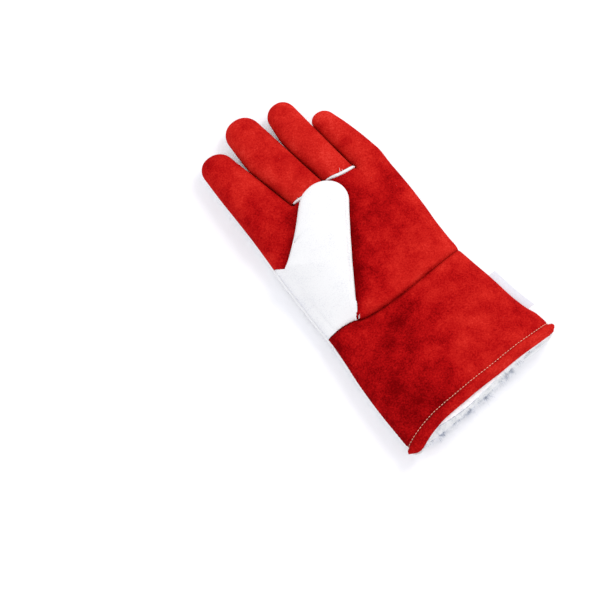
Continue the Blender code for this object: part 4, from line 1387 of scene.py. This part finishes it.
def pile(count, seed):
    """Thin curved fibres on the lining's inner face near its mouth, leaning together in tufts."""
    random = np.random.default_rng(seed)
    across = random.uniform(-0.99, 0.99, count)
    below = random.uniform(0, 1, count) < PILE_BELOW
    away = PILE_DEEP * random.uniform(0, 1, count) ** 1.7
    inner_share = np.clip(away / 0.004 + random.uniform(0, 0.5, count), 0, 1)
    depth = LINING_COVER + FLEECE * mix(0.15, 1.0, inner_share)
    step = 1e-4
    root = lining_point(across, away, depth, below)
    deeper = lining_point(across, away, depth + step, below)
    inward = unit(deeper - root)
    mouthward = np.array((0, -1.0, 0))
    near_mouth = np.exp(-away / PILE_TURNS_OUT)[:, None]
    tuft_x = slack_noise(root[:, 0], root[:, 1], TUFT_SIZE, 51)
    tuft_y = slack_noise(root[:, 0], root[:, 1], TUFT_SIZE, 52)
    lean = np.stack((tuft_x, tuft_y, 0 * tuft_x), axis=1) * 0.7 + random.normal(0, 0.28, (count, 3))
    heading = unit(inward * (0.75 - 0.35 * near_mouth) + mouthward * 1.1 * near_mouth + lean)
    size = PILE_LENGTH * random.uniform(0.4, 1.0, count) * (0.8 + 0.35 * tuft_x)
    size = size * (1 + 0.9 * near_mouth[:, 0] * np.clip(0.4 + tuft_y, 0, 1))
    curl = random.normal(0, 0.55, (count, 3))
    across_fibre = unit(np.cross(heading, random.normal(0, 1, (count, 3))))
    positions = []
    for share, width in ((0.0, 1.0), (0.4, 0.85), (0.75, 0.55)):
        centre = root + (heading * share + curl * share ** 2 * 0.45) * size[:, None]
        half = across_fibre * PILE_WIDTH / 2 * width
        positions += [centre - half, centre + half]
    positions.append(root + (heading + curl * 0.45) * size[:, None])
    positions = np.stack(positions, axis=1)
    positions[:, :, 2] = np.maximum(positions[:, :, 2], JUST_OVER_TABLE)
    numbers = np.arange(count)[:, None] * 7
    faces = []
    for quad in ((0, 1, 3, 2), (2, 3, 5, 4)):
        faces += (numbers + np.array(quad)).tolist()
    faces += (numbers + np.array((4, 5, 6))).tolist()
    return positions.reshape(-1, 3), faces


# Where the fringe clumps along the lower lip, from -1 to 1, and how wide each clump is
TUFTS = ((0.37, 0.05),
         (0.30, 0.03),
         (0.58, 0.04),
         (0.00, 0.02),
         (-0.27, 0.03),
         (-0.68, 0.03))
CLUMPED_SHARE = 0.22
CLUMPED_LONGER = 1.6
FRINGE_FIBRES = 5200
FRINGE_LENGTHS = (0.0012, 0.0036)
FRINGE_RADIUS = 0.00010


def fringe(count, seed):
    """Fine fibres along the lower lip that point out over the table, longer where they clump."""
    random = np.random.default_rng(seed)
    tufts = np.array(TUFTS)
    loose = random.uniform(-0.95, 0.86, count)
    tuft = tufts[random.integers(0, len(tufts), count)]
    clumped = random.uniform(0, 1, count) < CLUMPED_SHARE
    in_tuft = np.clip(tuft[:, 0] + random.normal(0, 1, count) * tuft[:, 1], -0.95, 0.9)
    across = np.where(clumped, in_tuft, loose)
    depth = LINING_COVER + FLEECE * random.uniform(0.0, 1.0, count)
    root = lining_point(across, random.uniform(0, 0.0035, count), depth, np.full(count, True))
    fan = np.where(clumped, 9 * (across - tuft[:, 0]), 0.5 * slack_noise(across, 0 * across, 0.07, 81))
    sideways = fan + random.normal(0, 0.3, count)
    heading = unit(np.stack((sideways, np.full(count, -1.0), random.uniform(-0.25, 0.5, count)), axis=1))
    size = random.uniform(*FRINGE_LENGTHS, count) * np.where(clumped, CLUMPED_LONGER, 1.0)
    curl = random.normal(0, 0.3, (count, 3)) - (0, 0, 0.3)
    shapes = []
    for k in range(count):
        path = np.array([root[k] + (heading[k] * share + curl[k] * share ** 2) * size[k]
                         for share in (0, 0.35, 0.7, 1)])
        path[:, 2] = np.maximum(path[:, 2], 2 * JUST_OVER_TABLE)
        shapes.append(tube(path, FRINGE_RADIUS, 3))
    return join_shapes(shapes)


fringe_piece = make_piece("fleece_fringe", *fringe(FRINGE_FIBRES, 5), SHADED_FLEECE)
# A dark grey thread along the upper lip's edge: a painted shadow line where the lip overhangs the pile
SHADOW_LINE_RADIUS = 0.00036
over = np.linspace(-0.80, -0.16, 60)
edge = lining_point(over, 0 * over, LINING_COVER + FLEECE * 0.8, False)
edge[:, 1] -= 0.0002
SHADOW_LINE_THREAD = cotton_thread("shadow_line_grey", (0.26, 0.25, 0.34))
shadow_line = make_piece("lining_shadow_line", *tube(edge, SHADOW_LINE_RADIUS), SHADOW_LINE_THREAD)
pile_piece = make_piece("fleece_pile", *pile(PILE_FIBRES, 8), WHITE_FLEECE)


# Label tab: a strip of white woven tape, folded in half along its length and caught in the cuff's side
# seam by its two long edges. It is left bare.
LABEL_LENGTH = 0.048
LABEL_WIDTH = 0.008
LABEL_FROM_HEM = 0.033
LABEL_LIFT = 0.0006
LABEL_DROOP = 0.0005
TAPE_OUTSIDE = 0.00045
TAPE_INSIDE = 0.00010


def woven_tape(name):
    """Satin-faced woven tape: fine threads across its width."""
    material, shader, tone = start_material(name, 0.5, Specular_IOR_Level=0.4)
    place = tone.node("TexCoord", {}, {}, "Object")
    threads = tone.node("TexWave", {"wave_type": "BANDS", "bands_direction": "Y"},
                        {"Vector": place, "Scale": 700, "Distortion": 0.4, "Detail": 1})
    shade = threads * 0.6 + place.noise(0.004, 2, 0.5) * 0.4
    colour = shade.ramp((0.2, (0.68, 0.69, 0.75)), (0.8, (0.83, 0.83, 0.87)))
    paint(shader, colour, threads, strength=0.4, distance=0.0001)
    return material


WHITE_TAPE = woven_tape("white_tape")
fold = np.linspace(-np.pi / 2, np.pi / 2, 9)
rings = []
for along in np.linspace(0, 1, 49):
    y = LABEL_FROM_HEM + along * LABEL_LENGTH
    edge = side_seams(y)[1] + SEAM_GAP
    droop = LABEL_DROOP * np.sin(along * 5.2 + 0.6)
    bend = edge + LABEL_WIDTH - TAPE_OUTSIDE
    outside = [(bend + TAPE_OUTSIDE * np.cos(a), TAPE_OUTSIDE * np.sin(a) + droop) for a in fold]
    inside = [(bend + TAPE_INSIDE * np.cos(a), TAPE_INSIDE * np.sin(a) + droop) for a in fold[::-1]]
    ring = [(edge, -TAPE_OUTSIDE)] + outside + [(edge, TAPE_OUTSIDE)]
    ring += [(edge, TAPE_INSIDE)] + inside + [(edge, -TAPE_INSIDE)]
    rings.append([(x, y, SEAM_HEIGHT + LABEL_LIFT + z) for x, z in ring])
rings = np.array(rings)
rows, sides = rings.shape[:2]
faces = ring_sides(rows, sides)
for k in range(sides // 2 - 1):
    faces.append([k, k + 1, sides - 2 - k, sides - 1 - k])
last = (rows - 1) * sides
for k in range(sides // 2 - 1):
    faces.append([last + sides - 1 - k, last + sides - 2 - k, last + k + 1, last + k])
label = make_piece("label_tape", rings.reshape(-1, 3), faces, WHITE_TAPE)
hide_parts("label_tab")


# Floor: a seamless white studio table, wide enough to fill the picture from any side. It lies a hair
# under the glove, which rests on it.
TABLE_REACH = 6
TABLE_TOP = -0.0003
floor_mesh = bpy.data.meshes.new("table")
around = ((-1, -1), (1, -1), (1, 1), (-1, 1))
floor_corners = [(TABLE_REACH * x, TABLE_REACH * y, TABLE_TOP) for x, y in around]
floor_mesh.from_pydata(floor_corners, [], [(0, 1, 2, 3)])
floor_material, _, _ = start_material("table_white", 0.9, Specular_IOR_Level=0.1,
                                      Base_Color=(0.975, 0.975, 0.985, 1.0))
floor_mesh.materials.append(floor_material)
table = bpy.data.objects.new("table", floor_mesh)
bpy.context.scene.collection.objects.link(table)


# Light: an even white surround, as in a light tent, and one large round softbox over the little
# finger's side, slightly warm. It draws the soft shadows on the thumb's side.
world = bpy.data.worlds.new("studio")
world.use_nodes = True
background = world.node_tree.nodes["Background"]
background.inputs["Color"].default_value = (0.953, 0.957, 1.0, 1.0)
background.inputs["Strength"].default_value = 1.05
bpy.context.scene.world = world

SOFTBOX_PLACE = Vector((1.25, 0.25, 1.35))
light = bpy.data.lights.new("key", "AREA")
light.shape = "DISK"
light.size = 0.7
light.energy = 8.5
light.color = (1.0, 0.97, 0.92)
lamp = bpy.data.objects.new("key", light)
lamp.location = SOFTBOX_PLACE
lamp.rotation_mode = "QUATERNION"
lamp.rotation_quaternion = (-SOFTBOX_PLACE).to_track_quat("-Z", "Y")
bpy.context.scene.collection.objects.link(lamp)
bpy.context.scene.view_settings.view_transform = "Standard"


# Camera: a long lens high over the cuff's side, aimed at the thumb's side of the palm. That puts the
# glove in the picture's upper right, as in the photograph of the pair.
CAMERA_AZIMUTH = np.radians(-39)
CAMERA_ELEVATION = np.radians(70)
CAMERA_DISTANCE = 1.4
MILLIMETRES_PER_PIXEL = 0.94
PICTURE_HEIGHT = 602
FILM = 36
AIM = Vector((-0.0739, 0.1767, 0)) - Vector(PATTERN_ORIGIN)
back_off = Vector((np.sin(CAMERA_AZIMUTH) * np.cos(CAMERA_ELEVATION),
                   -np.cos(CAMERA_AZIMUTH) * np.cos(CAMERA_ELEVATION), np.sin(CAMERA_ELEVATION)))
lens = bpy.data.cameras.new("camera")
lens.sensor_width = FILM
lens.lens = CAMERA_DISTANCE * 1000 / MILLIMETRES_PER_PIXEL / PICTURE_HEIGHT * FILM
camera = bpy.data.objects.new("camera", lens)
camera.location = AIM + back_off * CAMERA_DISTANCE
camera.rotation_mode = "QUATERNION"
camera.rotation_quaternion = (-back_off).to_track_quat("-Z", "Y")
bpy.context.scene.collection.objects.link(camera)
bpy.context.scene.camera = camera
